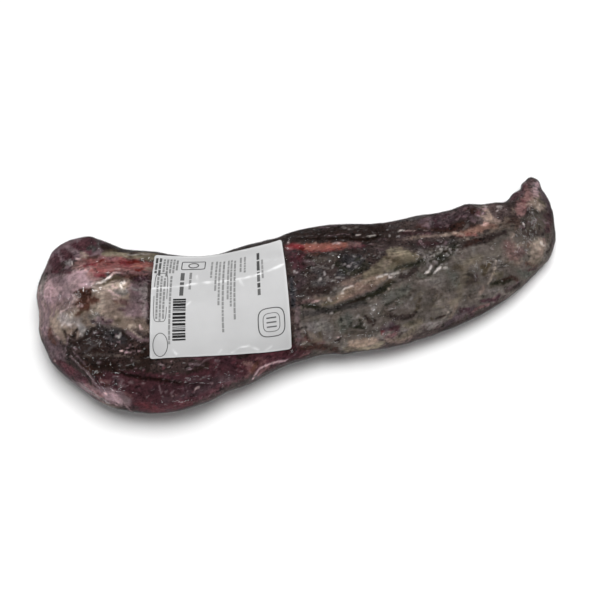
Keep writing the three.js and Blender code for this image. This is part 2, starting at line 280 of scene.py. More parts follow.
DARK_ZONE = [
    ("charcoal", 3, 1, [(76, 346, 6), (86, 349, 13), (100, 348, 22), (114, 350, 22), (128, 353, 18),
     (140, 357, 14), (155, 364, 10), (185, 366, 8), (205, 365, 4)]),
    ("slate", 3, 0.7, [(99, 326, 4), (107, 329, 4), (118, 331, 3)]),
    ("blue black", 3, 0.7, [(110, 336, 6), (122, 340, 5)]),
    ("black", 5, 0.6, [(96, 350, 6), (112, 362, 7), (140, 350, 6)]),
    ("mauve", 2, 0.9, [(98, 318, 1.2), (103, 317.5, 1), (108, 319.5, 1.6), (113, 321, 1)]),
    ("dark mauve", 2, 0.9, [(93, 322, 2.5), (100, 322, 2), (108, 323, 1.5)]),
    ("dark maroon", 1.2, 0.9, [(100.5, 317.8, 0.8), (103, 319.8, 1.1), (106, 322.3, 1), (112, 323, 0.9)]),
    ("mauve", 1.2, 0.9, [(94.5, 320, 1), (95, 322.5, 1)]),
    ("cream", 1.5, 0.9, [(128.5, 326, 1.4), (132.5, 325, 1.2), (135.5, 326.5, 1)]),
    ("cream", 1.3, 0.85, [(130, 329, 1), (134, 332.5, 1), (138, 336.3, 1.1), (142.5, 337.6, 1)]),
    # Painted glints of the film: the small pink white, pale grey, white and mauve dabs from here on.
    ("pink white", 1.2, 0.9, [(139.8, 325.5, 1.1), (141.3, 328.5, 0.9)]),
    ("mauve", 1.8, 0.8, [(128, 332, 2), (133, 336, 2.2), (140, 340, 2), (148, 340, 1.5)]),
    ("pale grey", 1, 0.9, [(93.5, 332.3, 1.1), (96, 332.3, 0.7)]),
    ("pale grey", 1, 0.95, [(115.5, 336.3, 0.9), (119.6, 336.8, 1), (120.6, 333.3, 0.8)]),
    ("white", 0.8, 0.9, [(119.2, 337.2, 0.8)]),
    ("pale grey", 1, 0.7, [(111, 330.5, 0.9)]),
    ("pink white", 0.9, 0.9, [(120.5, 350.4, 0.8), (122.3, 351, 0.7)]),
    ("mauve", 1, 0.9, [(126, 352, 0.9), (127.5, 351.6, 0.7)], [(134.5, 368.5, 0.6), (137, 368.4, 0.6)]),
    ("grey", 1.2, 0.8, [(142, 351, 1)]),
    ("mauve", 1, 0.8, [(131, 359, 0.8), (132.5, 361.5, 0.7)]),
    ("dark mauve", 1.5, 0.7, [(98, 363, 1.5), (101, 362, 1)]),
    ("slate", 2, 0.7, [(89, 341, 1.6), (94, 346, 1.2), (100, 341, 1), (85, 352, 1.3)]),
    ("dark silver", 2, 0.6, [(83, 356, 1.5), (98, 354, 1.5), (126, 356, 1), (139, 362, 1.5)]),
    ("mauve", 1.2, 1, [(71.5, 347.5, 0.8), (76, 348.6, 0.8)]),
]
LEFT_RIM = [
    ("dark mauve", 4, 1, [(47, 332, 5), (51, 342, 7), (56, 352, 8), (60, 360, 6)]),
    ("mauve", 3, 0.6, [(46, 342, 2), (52, 352, 3), (58, 356, 2.5)]),
    ("mauve", 5, 0.7, [(37, 300, 5), (39, 318, 6), (43, 332, 5)]),
    ("blood brown", 2.5, 0.7, [(49, 330, 2), (50.5, 336, 3), (54, 343, 3)]),
    # Painted glints of the film: the pink white dabs and the last mauve dab of this region.
    ("pink white", 1.3, 0.7, [(56.5, 336.5, 1), (59.5, 338.8, 1.2)]),
    ("tan", 3, 0.7, [(57, 328, 3), (60, 334, 3), (64, 340, 2.5)]),
    ("charcoal", 2, 0.7, [(64, 331, 1.5), (66, 336, 1.5), (71, 343, 2), (70, 353, 2.5)]),
    ("maroon", 3, 1, [(62, 364, 4), (68, 371, 6), (76, 376, 5), (84, 381, 4)]),
    ("wine", 2, 0.6, [(57, 361, 2.5), (63, 364, 2), (72, 372, 3)]),
    ("pink white", 1, 0.9, [(56.6, 360.6, 1)]),
    # The thin mauve lines of the film's line and seam: the film's own line with a painted highlight along
    # it.
    ("mauve", 1.2, 0.9, [(68.3, 336, 0.5), (67.3, 342, 0.7), (65.3, 348, 0.9), (65, 353, 0.7),
     (67, 359, 0.6)], [(113, 376.7, 0.7), (118, 376.7, 0.7)]),
    ("dark brown", 3, 0.8, [(84, 366, 4), (92, 371, 3), (99, 373, 3)]),
    ("mauve", 1.4, 0.9, [(70, 356, 0.5), (75, 361, 0.9), (82, 368.3, 1), (88, 373, 1.2), (92, 379.5, 1.3),
     (96, 385, 1.2), (102, 391, 1.3)]),
    ("dark mauve", 1.2, 0.8, [(73, 352, 0.5), (79, 358, 0.7), (85, 365, 0.6)]),
    ("dusty rose", 2, 0.8, [(100, 381, 1.5), (106, 382, 2.2), (110, 381, 1.3)]),
    ("dark brown", 1.8, 0.8, [(103, 385.5, 1.3), (108, 387, 1.2)]),
    ("dark mauve", 2, 0.8, [(116, 380, 2), (122, 380, 1.5), (119, 386, 1.5), (124, 386.5, 1.5)]),
    ("mauve", 1.3, 0.9, [(129.5, 382.5, 1.6), (132.5, 382.3, 1)]),
]
LOOSE_FLAP = [
    ("mauve", 3.5, 1, [(68, 382, 2), (78, 386, 3.5), (90, 391, 5), (104, 395, 7), (118, 398, 7),
     (128, 402, 5)]),
    ("dusty rose", 3, 0.6, [(86, 386, 3), (94, 390, 3), (100, 396, 3)]),
    ("dark mauve", 3, 0.6, [(82, 389, 2), (110, 389, 2), (112, 395, 2)]),
    ("membrane", 3, 0.7, [(112, 392, 2.5), (117, 398, 3), (121, 405, 2.5)]),
    # Painted highlights: the grey line along the flap's rim, the pink white dab, and the membrane line on
    # the seam.
    ("grey", 1.5, 0.8, [(78, 385, 1), (88, 391, 1), (98, 397.5, 1.2), (108, 403, 1.2)]),
    ("pink white", 1, 0.8, [(104.5, 393, 0.6), (107, 395, 0.8)]),
    ("dark mauve", 1, 0.8, [(108, 398.6, 0.8), (111, 399, 0.6)]),
    ("membrane", 1.2, 0.8, [(119, 398.5, 0.7), (124, 403, 0.9), (128, 408, 0.9), (131, 411.5, 0.8)]),
    ("dark tan", 2, 0.6, [(100, 402, 1.2), (110, 406.5, 1.5), (118, 408.5, 1.2)]),
    ("dusty rose", 2, 0.7, [(126, 394, 2), (131, 397, 1.5)]),
]
LOWER_LOBE = [
    ("charcoal", 4, 0.8, [(160, 366, 7), (185, 366, 7), (205, 365, 4)]),
    # Painted shade: the black line along the crease above the lower lobe.
    ("black", 1.8, 0.95, [(112, 372, 0.8), (121, 373.5, 1.3), (133, 376.5, 1.8), (145, 378.5, 2),
     (160, 379.5, 1.5), (176, 382, 1.8), (190, 384.5, 1.5), (205, 385.5, 1)]),
    ("wine", 3.5, 0.9, [(134, 402, 3), (145, 406, 5), (160, 407, 5), (176, 404, 5), (192, 402, 3)]),
    ("crimson", 4, 0.35, [(140, 404, 3), (160, 409, 3)]),
    ("purple", 4, 0.6, [(165, 398, 4), (178, 395, 4), (205, 388, 5), (230, 378, 5)]),
    ("dark maroon", 4, 0.7, [(150, 389, 4), (180, 388, 5), (200, 380, 4), (215, 384, 4)]),
    ("dusty rose", 1.5, 0.7, [(178, 400, 0.8), (190, 401, 1), (196, 401.5, 0.7)]),
    ("dusty rose", 1.5, 0.5, [(170, 394, 0.8), (178, 392.5, 0.8)]),
    # Painted highlights: the row of small mauve and pink white dabs from here to the dark mauve strokes.
    ("mauve", 1.1, 1, [(143.3, 383.4, 1.2)]),
    ("mauve", 1.1, 0.8, [(158.8, 385.5, 0.9), (161.5, 391, 1)]),
    ("mauve", 1, 0.95, [(165.5, 390.3, 0.9), (167, 389.5, 0.7)], [(193.5, 391.3, 1)]),
    ("mauve", 1, 0.8, [(171, 392, 1.1), (174, 389.7, 0.9)], [(163.5, 373.4, 1)]),
    ("mauve", 0.9, 0.9, [(186.8, 384, 0.5), (186.8, 387, 0.6)], [(187.5, 390.3, 0.8)]),
    ("pink white", 1, 0.95, [(196, 388.6, 1), (198, 387.5, 1)]),
    ("mauve", 1, 0.9, [(210.5, 383, 1), (212.3, 383.7, 0.7)]),
    ("mauve", 1, 0.7, [(216, 377, 1)], [(171, 360.6, 1)]),
    ("mauve", 0.9, 1, [(187.5, 369.3, 0.6), (191.5, 369.3, 0.6)]),
    ("dark mauve", 1.2, 0.9, [(159, 363.5, 0.8), (162.5, 365.5, 1)]),
    ("mauve", 1.2, 0.7, [(196, 366, 0.5), (202, 362, 0.7), (209, 358.5, 0.7), (217, 355.7, 0.6)]),
    ("dark mauve", 1.5, 0.8, [(190, 364, 0.8), (197, 364, 1), (203, 365, 0.9)]),
    ("dark mauve", 1.5, 0.9, [(216, 360, 1), (219, 360.5, 0.9)]),
    ("charcoal", 2, 0.7, [(240, 357, 2.5), (250, 355, 2)]),
    ("dark maroon", 3, 0.7, [(226, 362, 4), (236, 372, 3)]),
    ("rose", 2.2, 0.85, [(245, 363, 1.8), (251, 363.5, 2.2), (256, 366.5, 1.6)]),
    ("dusty rose", 1.8, 0.7, [(248, 368, 1.3), (250, 374, 1.2), (246, 377, 1)]),
    ("blood brown", 2.5, 0.8, [(252, 372, 2.5), (258, 362, 1.5)]),
    ("dusty rose", 2, 0.7, [(258, 358.6, 1.5), (265, 359.5, 1.6), (261, 366, 1.3)]),
    ("wine", 3, 0.6, [(262, 353, 2.5), (275, 356, 3), (292, 352, 3)]),
    # The membrane line along the film's fold in the notch: a painted highlight on the fold.
    ("membrane", 1.2, 1, [(253, 379.5, 0.7), (256, 374, 1), (259.5, 369.5, 1), (266, 366, 1),
     (275, 362.5, 1), (284, 361.5, 0.8), (288, 359.5, 0.6)]),
    ("dusty rose", 1.5, 0.9, [(258, 376, 1), (262, 371, 1.3), (270, 366.5, 0.9)]),
]
SIDE_MUSCLE = [
    ("charcoal", 2, 0.8, [(288, 236, 3), (305, 233, 4), (325, 231, 5), (350, 231, 5), (375, 229, 5),
     (400, 228, 3)]),
    # Painted shadow: the black line in the furrow between the side muscle and the main muscle.
    ("black", 1.5, 0.8, [(297, 239.5, 0.9), (320, 238.4, 1), (345, 237.8, 1.3), (366, 240, 1.5),
     (378, 236, 2)]),
    ("slate", 1, 0.9, [(290, 238.6, 0.5), (302, 237.2, 0.6), (312, 235.6, 0.5)], [(314, 230.6, 0.6),
     (320, 229.6, 0.8)]),
    ("slate", 1, 0.8, [(296, 234.3, 0.5), (312, 232.2, 0.6)]),
    ("dark mauve", 1, 0.9, [(320, 227.5, 0.8), (328, 227.2, 0.8)]),
    ("mauve", 0.9, 0.8, [(328, 225.4, 0.5), (336, 224.9, 0.5)], [(337, 233.8, 0.5), (344, 233.7, 0.5),
     (350, 234.2, 0.5)]),
    ("dark mauve", 0.9, 0.9, [(328, 235.2, 0.5), (336, 235, 0.5)]),
    ("grey", 1.8, 0.7, [(342, 226.5, 1.2), (350, 228.6, 0.8), (357, 226.5, 0.8)]),
    ("slate", 1.5, 0.9, [(385, 222.5, 1), (400, 221.3, 1.2), (415, 219.5, 1.8), (424, 216, 1.5)]),
    ("slate", 2.5, 0.6, [(388, 227, 2), (398, 227, 2)]),
    # Painted glints of the film along the side muscle: the white, mauve, pale grey and pink white dabs
    # below.
    ("white", 1, 0.85, [(356, 234.8, 0.6), (359.4, 234.5, 0.9)]),
    ("white", 0.9, 0.85, [(367, 236.3, 0.5), (370.5, 235.5, 0.9), (375, 235.2, 0.5)]),
    ("mauve", 0.9, 0.95, [(378, 239.6, 0.5), (383, 238.6, 0.8), (387, 239.5, 0.6)]),
    ("mauve", 0.9, 0.9, [(369.7, 243.6, 0.6), (373, 243.6, 0.5)]),
    ("pale grey", 1, 0.95, [(389.8, 234.3, 0.7), (389.8, 236.5, 0.7)]),
    ("pale grey", 0.9, 0.9, [(393.5, 232.7, 0.6), (396, 232.6, 0.6)], [(397, 236.4, 0.6),
     (399.5, 236.4, 0.5)]),
    ("white", 0.8, 0.95, [(397.5, 231.8, 0.4), (401, 231.3, 0.7), (404, 231.6, 0.4)]),
    ("pink white", 0.8, 0.9, [(406, 231.4, 0.4), (411, 231.4, 0.6), (416, 231.4, 0.3)]),
    ("pink white", 0.8, 0.8, [(424, 230.5, 0.4), (428, 230.3, 0.5), (433, 230.5, 0.3)]),
    ("maroon", 2, 0.6, [(404, 234, 1.5), (416, 233.5, 1.5), (430, 233, 1.2)]),
    ("purple", 3, 0.85, [(424, 224, 5), (440, 220, 7), (456, 215, 6), (470, 212, 5)]),
    ("dark maroon", 2, 0.8, [(437, 216.5, 1.8), (435, 224, 1.5), (441, 228, 2), (452, 227, 2.5)]),
    ("dark brown", 2, 0.8, [(426, 225, 1), (418, 227, 2), (444, 231, 1.5), (463, 223, 2)]),
    ("mauve", 1.5, 0.8, [(442, 219.5, 1.3), (447, 217, 1.5), (453, 213.5, 1.3)], [(457, 220, 1.3),
     (460, 216, 1.2)], [(448, 225.5, 1.3), (445, 223.3, 0.6)]),
    ("mauve", 1.3, 0.9, [(463, 216.3, 0.9), (466, 216.7, 0.8)]),
    ("dark mauve", 1.5, 0.9, [(427, 225.5, 1.5), (429, 228, 1.5)], [(472, 220, 2.5), (475, 221, 2)]),
    ("dark mauve", 1.5, 0.8, [(434.5, 219.5, 1.3)]),
    ("grey", 1.2, 0.8, [(443, 211, 1), (448, 211, 1)], [(457, 207.5, 1), (460, 208.3, 1.2)],
     [(464, 206.5, 0.6), (475, 206.7, 0.8), (487, 206.3, 0.7)]),
    ("charcoal", 1, 0.8, [(461, 204.3, 0.7), (475, 204.5, 0.6), (490, 204, 0.7), (500, 202.4, 0.7)]),
    ("dark brown", 2, 0.9, [(467, 211.5, 2.2), (473, 212, 2.5), (478, 213, 2.5)]),
    ("dark tan", 2, 0.9, [(483, 208, 1.5), (488, 212, 2.2), (491, 218, 2.5), (482, 216, 1.5)]),
    ("charcoal", 1.8, 0.9, [(491, 208, 1.2), (501, 213.5, 2), (499, 217, 1.2)]),
    ("grey", 1.5, 0.9, [(498, 206, 1.2), (501, 207, 2)]),
    ("pale grey", 1.2, 0.8, [(497.5, 210, 1)]),
]
RED_STRIP_AND_HOLLOW = [
    ("salmon", 2, 1, [(302, 247, 3), (312, 247, 4), (325, 246.5, 4.2), (337, 245.5, 3.5), (346, 245, 2.8)]),
    ("red", 1.8, 0.7, [(305, 251, 1.5), (318, 251, 1.2), (330, 249.5, 1.8), (344, 248, 1.2)]),
    ("bright red", 2, 1, [(288, 248, 2.5), (295, 246, 3), (302, 247.5, 2.6)]),
    ("rose", 1.5, 0.7, [(287, 248.5, 1.5), (291, 248.5, 1.2)]),
    ("rose", 1.5, 0.5, [(294, 244.5, 1), (299, 243.8, 1.2), (303, 244, 0.8)]),
    ("pink white", 1.2, 0.8, [(288, 244.2, 1), (289, 243.2, 0.7)]),
    ("deep red", 1.5, 1, [(300.5, 249, 1.1), (302.5, 249.3, 1.7)]),
    ("cream", 1.4, 0.6, [(312, 243.5, 0.7), (316, 243.5, 0.9)]),
    ("pink white", 1, 0.95, [(333, 243.3, 1), (337, 242.5, 1), (340.5, 244, 1)]),
    ("maroon", 2.5, 0.9, [(287, 252, 2.5), (293, 252.5, 2), (303, 254.5, 2.3)]),
    ("blood brown", 2, 0.8, [(310, 254.5, 1.5), (318, 253.5, 1.5)]),
    ("wine", 3.5, 0.9, [(352, 245, 2.8), (356, 245, 3.2), (363, 246, 2.5)]),
    ("rose", 3, 0.8, [(349, 243.8, 1.8), (358, 244, 2.4)]),
    ("maroon", 3, 1, [(291, 258, 3.5), (299, 260, 4.5), (296, 266, 4), (304, 268, 4)]),
    ("crimson", 2, 0.25, [(299, 258, 2.2), (303, 256, 1.8)]),
    ("soft black", 4, 1, [(300, 282, 11), (318, 276, 13), (336, 268, 12), (352, 261, 10), (366, 258, 7),
     (378, 257, 4)]),
    ("dark silver", 3, 0.8, [(316, 260, 3), (324, 259, 3.5), (334, 257, 3), (338, 262, 2)]),
    ("dark mauve", 2, 0.9, [(305, 260.5, 1.5), (309, 261.5, 1.5), (314, 264, 1.5)]),
    ("grey", 2, 0.6, [(330, 254.5, 1.3), (337, 253.5, 1.2)]),
    ("blue black", 4, 0.8, [(345, 258, 5), (358, 260, 6), (352, 268, 5), (340, 274, 4)]),
    ("green black", 3, 0.8, [(337, 264, 2.5), (350, 274, 3), (358, 270, 3.5), (366, 265, 3.5)]),
    ("purple", 3, 0.6, [(298, 272, 4), (302, 280, 4), (299, 286, 3)]),
    ("blue black", 2, 0.9, [(291, 278, 2), (292, 288, 2.5), (293, 297, 2.5), (293, 306, 2)]),
    ("slate", 3, 0.8, [(313, 270, 3), (320, 271, 3), (322, 282, 4), (314, 284, 3)]),
    ("charcoal", 3, 0.8, [(318, 290, 4), (328, 290, 4), (306, 290, 3), (312, 295, 2)]),
    # Painted glints of the film in the hollow: the pale grey and grey dabs from here to the slate lines.
    ("pale grey", 1, 1, [(294.3, 271, 0.9), (296.6, 272.3, 0.7)], [(332.6, 267.5, 0.8), (333.4, 265, 0.8)],
     [(345, 263.7, 1.2)], [(324.3, 272.4, 0.9), (324.9, 274.3, 0.7)]),
    ("pale grey", 1, 0.9, [(305.3, 274.2, 1.2)], [(319.5, 279.8, 0.8), (320.8, 278, 0.7)],
     [(335.5, 289.5, 1), (336.5, 288.3, 0.6)]),
    ("grey", 1, 0.9, [(348, 265.7, 0.6), (351, 264.6, 0.7)], [(335.3, 273.4, 0.9)], [(348.8, 272.7, 0.9)]),
    ("grey", 1, 1, [(337, 277.3, 0.7), (343, 277.6, 0.9)]),
    ("grey", 1.2, 0.8, [(308.2, 287.6, 1.1)], [(311, 270, 0.9), (312, 267.5, 0.7)]),
    ("pale grey", 1.1, 0.9, [(331, 292, 1.2)]),
    ("grey", 1, 0.7, [(328.8, 268, 0.8), (317, 266, 0.9)], [(328, 276.5, 1), (325, 279, 0.8),
     (335, 280.5, 0.8)]),
    ("slate", 1, 1, [(295.5, 289, 0.7), (296, 294, 0.9)]),
    ("slate", 1, 0.9, [(301.5, 293.5, 0.7), (305, 291.5, 0.7)]),
    ("slate", 1.3, 0.9, [(359.5, 261.5, 1.2), (361, 258, 0.8)]),
    ("grey", 1.1, 0.8, [(378, 256.8, 1), (380, 258.6, 0.8), (380, 252.3, 1)]),
]
FAT_AND_GROOVE = [
    ("olive tan", 3, 1, [(366, 276, 4), (378, 269, 6), (390, 262, 8), (402, 257, 7), (412, 257, 5)]),
    ("olive", 3, 0.6, [(390, 254, 3), (397, 253, 3), (400, 263, 3), (408, 260, 3)]),
    ("tan", 3, 0.45, [(392, 250, 2), (398, 251, 3), (384, 267, 3)]),
    ("dark olive", 1.5, 0.8, [(384, 256.5, 0.7), (391, 258.5, 1), (399, 262, 0.8)]),
    ("cream", 1.2, 0.6, [(402.2, 253, 1.1), (419, 252.3, 1.2)]),
    ("grey", 3, 0.6, [(420, 250, 3), (420, 257, 3), (411, 248, 1.5)]),
    ("charcoal", 2, 0.9, [(404, 243, 2.2), (412, 245, 2.5), (409, 251, 1.2), (415, 251, 1)]),
    ("soft black", 2.5, 0.9, [(384, 243, 2.5), (396, 242, 2.5)]),
    ("dark mauve", 2, 0.4, [(376, 249, 1.5), (382, 249.5, 1.2)]),
    ("olive tan", 3, 0.9, [(390, 251, 3.5), (400, 251, 4), (412, 255, 4), (421, 259, 2.5)]),
    ("fat", 2.5, 1, [(334, 301, 3), (345, 295, 5), (356, 289, 6), (367, 284, 6), (378, 279, 4.5),
     (386, 277, 2.5)]),
    ("dark tan", 2.5, 0.7, [(352, 291, 2.5), (356, 293, 3), (366, 286, 3), (372, 284, 2.5)]),
    ("dusty rose", 2.5, 0.2, [(346, 283, 2.5), (374, 288, 2.5), (345, 299, 2)]),
    ("dark tan", 2.5, 0.8, [(343, 283, 2.5), (352, 280, 2.5), (360, 276, 2)]),
    # Painted highlights of the film on the fat strip: the white dabs and the first cream dab below.
    ("white", 1.1, 0.75, [(342.3, 292.6, 1.3), (345, 289, 0.8), (350, 286.6, 0.8), (354, 286.2, 0.7)]),
    ("white", 1, 0.9, [(377, 277.6, 0.8), (381.5, 276, 1.1), (384, 275.6, 0.7), (387, 275, 1),
     (389.5, 277, 0.8), (393, 278, 0.9)]),
    ("white", 1, 0.8, [(391, 273.8, 0.8), (394, 274, 0.9), (397.5, 272.6, 0.9), (400, 272.6, 0.6)]),
    ("cream", 1, 0.9, [(361, 280.6, 1)]),
    ("cream", 1, 0.5, [(359.3, 289, 0.8), (368, 281, 0.8)]),
    ("dusty rose", 2, 0.45, [(298, 303, 1.5), (307, 301.5, 2), (316, 300.5, 2)]),
    ("dark tan", 2, 0.9, [(316, 298, 1.5), (324, 299.5, 2.2), (332, 300, 3)]),
    ("pink white", 1.3, 0.75, [(312, 302.6, 0.9), (315, 301.7, 1.4), (318, 300.4, 1)]),
    ("white", 1.1, 0.7, [(328.6, 298.5, 0.9), (331, 301.4, 1.1)]),
    ("olive tan", 1.2, 0.9, [(323, 304.8, 1.1), (333, 303.2, 0.9), (337, 299, 1), (338, 295, 1)]),
    ("olive", 2, 0.6, [(326, 303, 2), (334, 305, 1.5)]),
    # The groove under the fat strip: its green black and black lines are dark meat with painted shade.
    ("green black", 2.2, 1, [(303, 306, 1.5), (311, 306, 2.2), (320, 310, 2.5), (332, 311, 3),
     (345, 306, 3), (357, 302, 3.2), (367, 297, 3), (378, 293, 3), (386, 287, 3), (393, 282, 2)]),
    ("black", 1.5, 0.7, [(322, 312, 1.5), (340, 307, 1.5), (350, 304, 1.5), (364, 297.5, 1.2)]),
    ("dark olive", 2, 0.8, [(386, 284, 2), (392, 280, 2)]),
    ("slate", 2.5, 0.7, [(352, 306, 2.5), (364, 303, 2.5), (312, 313, 3), (304, 314, 3)]),
    # Painted glints of the film: the pale grey dabs below.
    ("pale grey", 1.1, 0.85, [(331.7, 312.8, 1.2)]),
    ("pale grey", 1, 0.9, [(368, 298.6, 0.9), (370, 298.8, 0.5)]),
    ("cream", 1.1, 0.8, [(389.4, 289.7, 1.3)]),
    ("pale grey", 1.2, 0.6, [(392.7, 292.8, 1.3)]),
    # The groove's right end: dark meat with painted shade.
    ("green black", 2.2, 0.9, [(396, 269, 1.5), (404, 266, 2), (412, 265, 3), (418, 264, 3),
     (422, 260, 2)]),
    ("soft black", 2, 0.9, [(401, 276, 2.5), (406, 276.5, 2.5), (412, 272, 3), (416, 268, 2.5)]),
    ("pale grey", 1, 0.8, [(404.5, 271.5, 0.9), (407.4, 274, 0.9)]),
    ("olive tan", 1.2, 0.8, [(405, 268, 1.2), (401, 270, 1)]),
]
SILVER_SKIN = [
    ("charcoal", 2.5, 0.9, [(293, 312, 2), (293, 325, 2), (292, 340, 2)]),
    ("dark mauve", 2.5, 0.7, [(298, 308, 2), (298, 332, 2.5), (299, 342, 2.5)]),
    ("grey", 3.5, 0.8, [(304, 325, 4), (313, 327, 5), (322, 325, 6), (329, 329, 5)]),
    ("pale grey", 1.5, 0.7, [(308.8, 329.5, 1.5), (309.5, 326.5, 0.8)], [(317, 324, 1.2),
     (319.5, 324.5, 1)], [(371.5, 312.6, 1.3), (374, 308, 2)]),
    ("pale grey", 1.3, 0.6, [(316, 328.6, 0.9), (319.5, 331, 0.7)]),
    ("tan", 2, 0.7, [(311, 334, 1.8), (315, 338, 2), (308, 332, 1.2)]),
    ("cream", 1.3, 0.5, [(303, 344.5, 1.2), (306, 342.8, 1)]),
    ("dark brown", 1.8, 0.8, [(305, 333, 1.2), (307, 337.5, 2), (309.5, 341.5, 1.5)]),
    ("dark olive", 1.8, 0.7, [(319.5, 333, 1), (321, 337, 1.2)]),
    ("charcoal", 1.2, 0.6, [(297, 325, 1.5), (299, 329, 1.2)]),
    ("dusty rose", 2.5, 0.5, [(297, 340, 2), (304, 340, 1.5), (324, 343, 1.5)]),
    ("grey", 1.5, 0.7, [(325, 338, 1), (332, 334, 1.3), (327, 342.3, 0.7)]),
    ("olive tan", 2.5, 0.6, [(313, 342, 2), (320, 340, 2)]),
    ("dark brown", 3, 0.9, [(300, 349, 2.5), (312, 347, 3.5), (324, 348, 3), (336, 349, 2.5)]),
    ("maroon", 2.5, 0.8, [(288, 353, 3), (300, 353, 2.5), (310, 352, 1.5)]),
    ("dusty rose", 1.3, 0.7, [(300, 357, 0.7), (306, 354.5, 0.8), (311, 352.7, 0.6)]),
    ("dark silver", 1.8, 0.8, [(314, 353.5, 1), (325, 352, 1), (332, 346.5, 1.3)]),
    ("fat", 2.5, 1, [(350, 344, 2.5), (358, 344, 4.5), (368, 342.5, 4.5), (375, 341, 3.5)]),
    ("olive tan", 2.5, 0.9, [(345, 347, 2.5), (357, 350, 2), (372, 347.5, 2.5), (381, 344, 3)]),
    ("cream", 1.2, 0.7, [(351.5, 342.3, 0.9), (360, 342.4, 0.6)]),
    ("grey", 2, 0.6, [(341, 347, 1.5), (347, 343.5, 1)]),
    ("pink white", 1.2, 0.85, [(337, 336.6, 0.8), (339, 337.8, 1.1)]),
    ("black", 1.3, 0.8, [(341.3, 336.6, 0.8), (338.5, 340.5, 1.6), (335, 341, 1)]),
    ("dark silver", 3, 0.8, [(346, 333, 4), (350, 338, 2), (344, 327, 2)]),
    ("green grey", 3.5, 0.8, [(340, 322, 4), (348, 317, 5), (350, 324, 3), (342, 330, 3)]),
    ("green grey", 4, 0.7, [(385, 300, 4), (397, 293, 5), (408, 288, 5), (398, 305, 3)]),
    ("green black", 1.6, 0.9, [(359, 319, 1.3), (362, 323, 1.2), (357, 327, 1.5), (364, 328, 1.5),
     (350, 327, 1.2)]),
    ("charcoal", 1.6, 0.85, [(366, 316, 1.5), (370, 322, 1.8), (375, 321, 1.3), (373, 326, 1.2)]),
    ("pale grey", 1.2, 0.75, [(353, 327, 0.7), (355.5, 324.5, 0.8), (357, 322.5, 0.6)]),
    ("pale grey", 1.3, 0.7, [(355.5, 318.5, 0.8), (358.5, 315, 1.2)]),
    ("grey", 1.2, 0.8, [(361.5, 321.5, 0.8), (365, 324.5, 0.7), (368, 327, 0.6)]),
    ("dark silver", 2.5, 0.9, [(352, 332, 2), (360, 333, 2.5), (368, 333, 2)]),
    ("purple", 3, 0.9, [(384, 330, 4), (391, 325, 4), (397, 330, 3)]),
    ("grey", 1.8, 0.8, [(388, 322.5, 1.5), (387, 326, 1)]),
    ("crimson", 1.4, 0.7, [(382, 331.5, 1.1), (382.5, 334.5, 0.9)]),
    ("maroon", 2, 0.8, [(391, 330, 2), (398, 327, 2), (393, 336, 1.5)]),
    ("dusty rose", 2, 0.5, [(396, 334, 2), (386, 338, 1.5)]),
    ("soft black", 3, 0.9, [(387, 314, 2.5), (395, 318, 3), (402, 317, 2.5), (410, 317, 3),
     (416, 313, 1.5)]),
    ("pale grey", 1.3, 0.75, [(384.5, 308.6, 1.2), (382.5, 310.5, 0.7)]),
    ("pale grey", 1.5, 0.6, [(410.5, 299.5, 1.2), (412, 297, 0.8)]),
    ("grey", 1.5, 0.8, [(408, 303, 1.1), (407.5, 306, 0.8), (401.5, 300, 1)]),
    ("grey", 1.4, 0.7, [(414, 304, 0.8), (414, 308, 0.8), (394, 307, 1)]),
    ("grey", 1.5, 0.6, [(378, 304, 1.5), (384, 300, 1.3), (392, 311, 1.2)]),
    ("green black", 1.5, 0.8, [(398, 298, 1.2), (389, 304, 1), (385, 304, 0.8), (396, 303, 0.9)]),
    ("dark silver", 1.8, 0.9, [(411, 291, 1.5), (416, 290, 1.5), (383, 311, 1.5), (390, 315, 1.3)]),
    ("dark olive", 1.8, 0.6, [(420, 299, 1.8), (417, 309, 1.6), (420, 305, 1.2)]),
    ("dark silver", 4, 0.5, [(430, 294, 5), (438, 298, 4), (427, 308, 4)]),
    ("dark silver", 1.5, 0.9, [(431, 306, 1.4), (436, 300, 1.2), (440, 297, 1), (445, 289, 1)]),
    ("grey", 1.5, 0.7, [(437, 301.5, 1.1), (440, 300, 0.8)]),
    ("pale grey", 1, 0.5, [(421.5, 281, 0.6), (421.8, 286, 0.6)]),
    ("grey", 4, 0.6, [(428, 283, 4), (438, 282, 4), (442, 276, 3)]),
    ("pale grey", 1.8, 0.5, [(420, 281, 1), (428, 279, 1.1), (433, 276, 1)]),
    ("green grey", 2, 0.8, [(419, 275, 3), (424, 276, 2)]),
    ("green grey", 4, 0.8, [(453, 277, 4), (458, 284, 4), (448, 270, 2)]),
    ("charcoal", 1.3, 0.7, [(457, 277.5, 1.1)]),
    ("olive tan", 4, 0.55, [(453, 303, 4), (459, 298, 3), (466, 264, 4), (478, 258, 5)]),
    ("dark tan", 2, 0.8, [(458, 305, 1.2), (454, 312, 1.5), (451, 318, 1.8)]),
    ("cream", 1.1, 0.6, [(448.7, 312.3, 1)]),
    ("black", 1.4, 0.85, [(436, 319, 0.7), (441, 317.7, 1.3), (445, 316, 1)]),
    ("dark olive", 1.8, 0.8, [(433, 320.5, 1.4), (431, 318.5, 1)]),
    ("grey", 3, 0.6, [(437, 323, 2.5), (430, 328, 2.5), (447, 319, 1.5), (404, 330, 2)]),
    ("olive", 3, 0.6, [(408, 326, 3), (420, 322, 3), (405, 338, 3), (398, 339, 2)]),
    ("dark silver", 3, 0.7, [(420, 331, 3), (424, 327, 2), (412, 334, 2)]),
    ("dark tan", 2.5, 0.7, [(388, 341, 2.5), (400, 341, 2.5), (410, 338, 2)]),
]
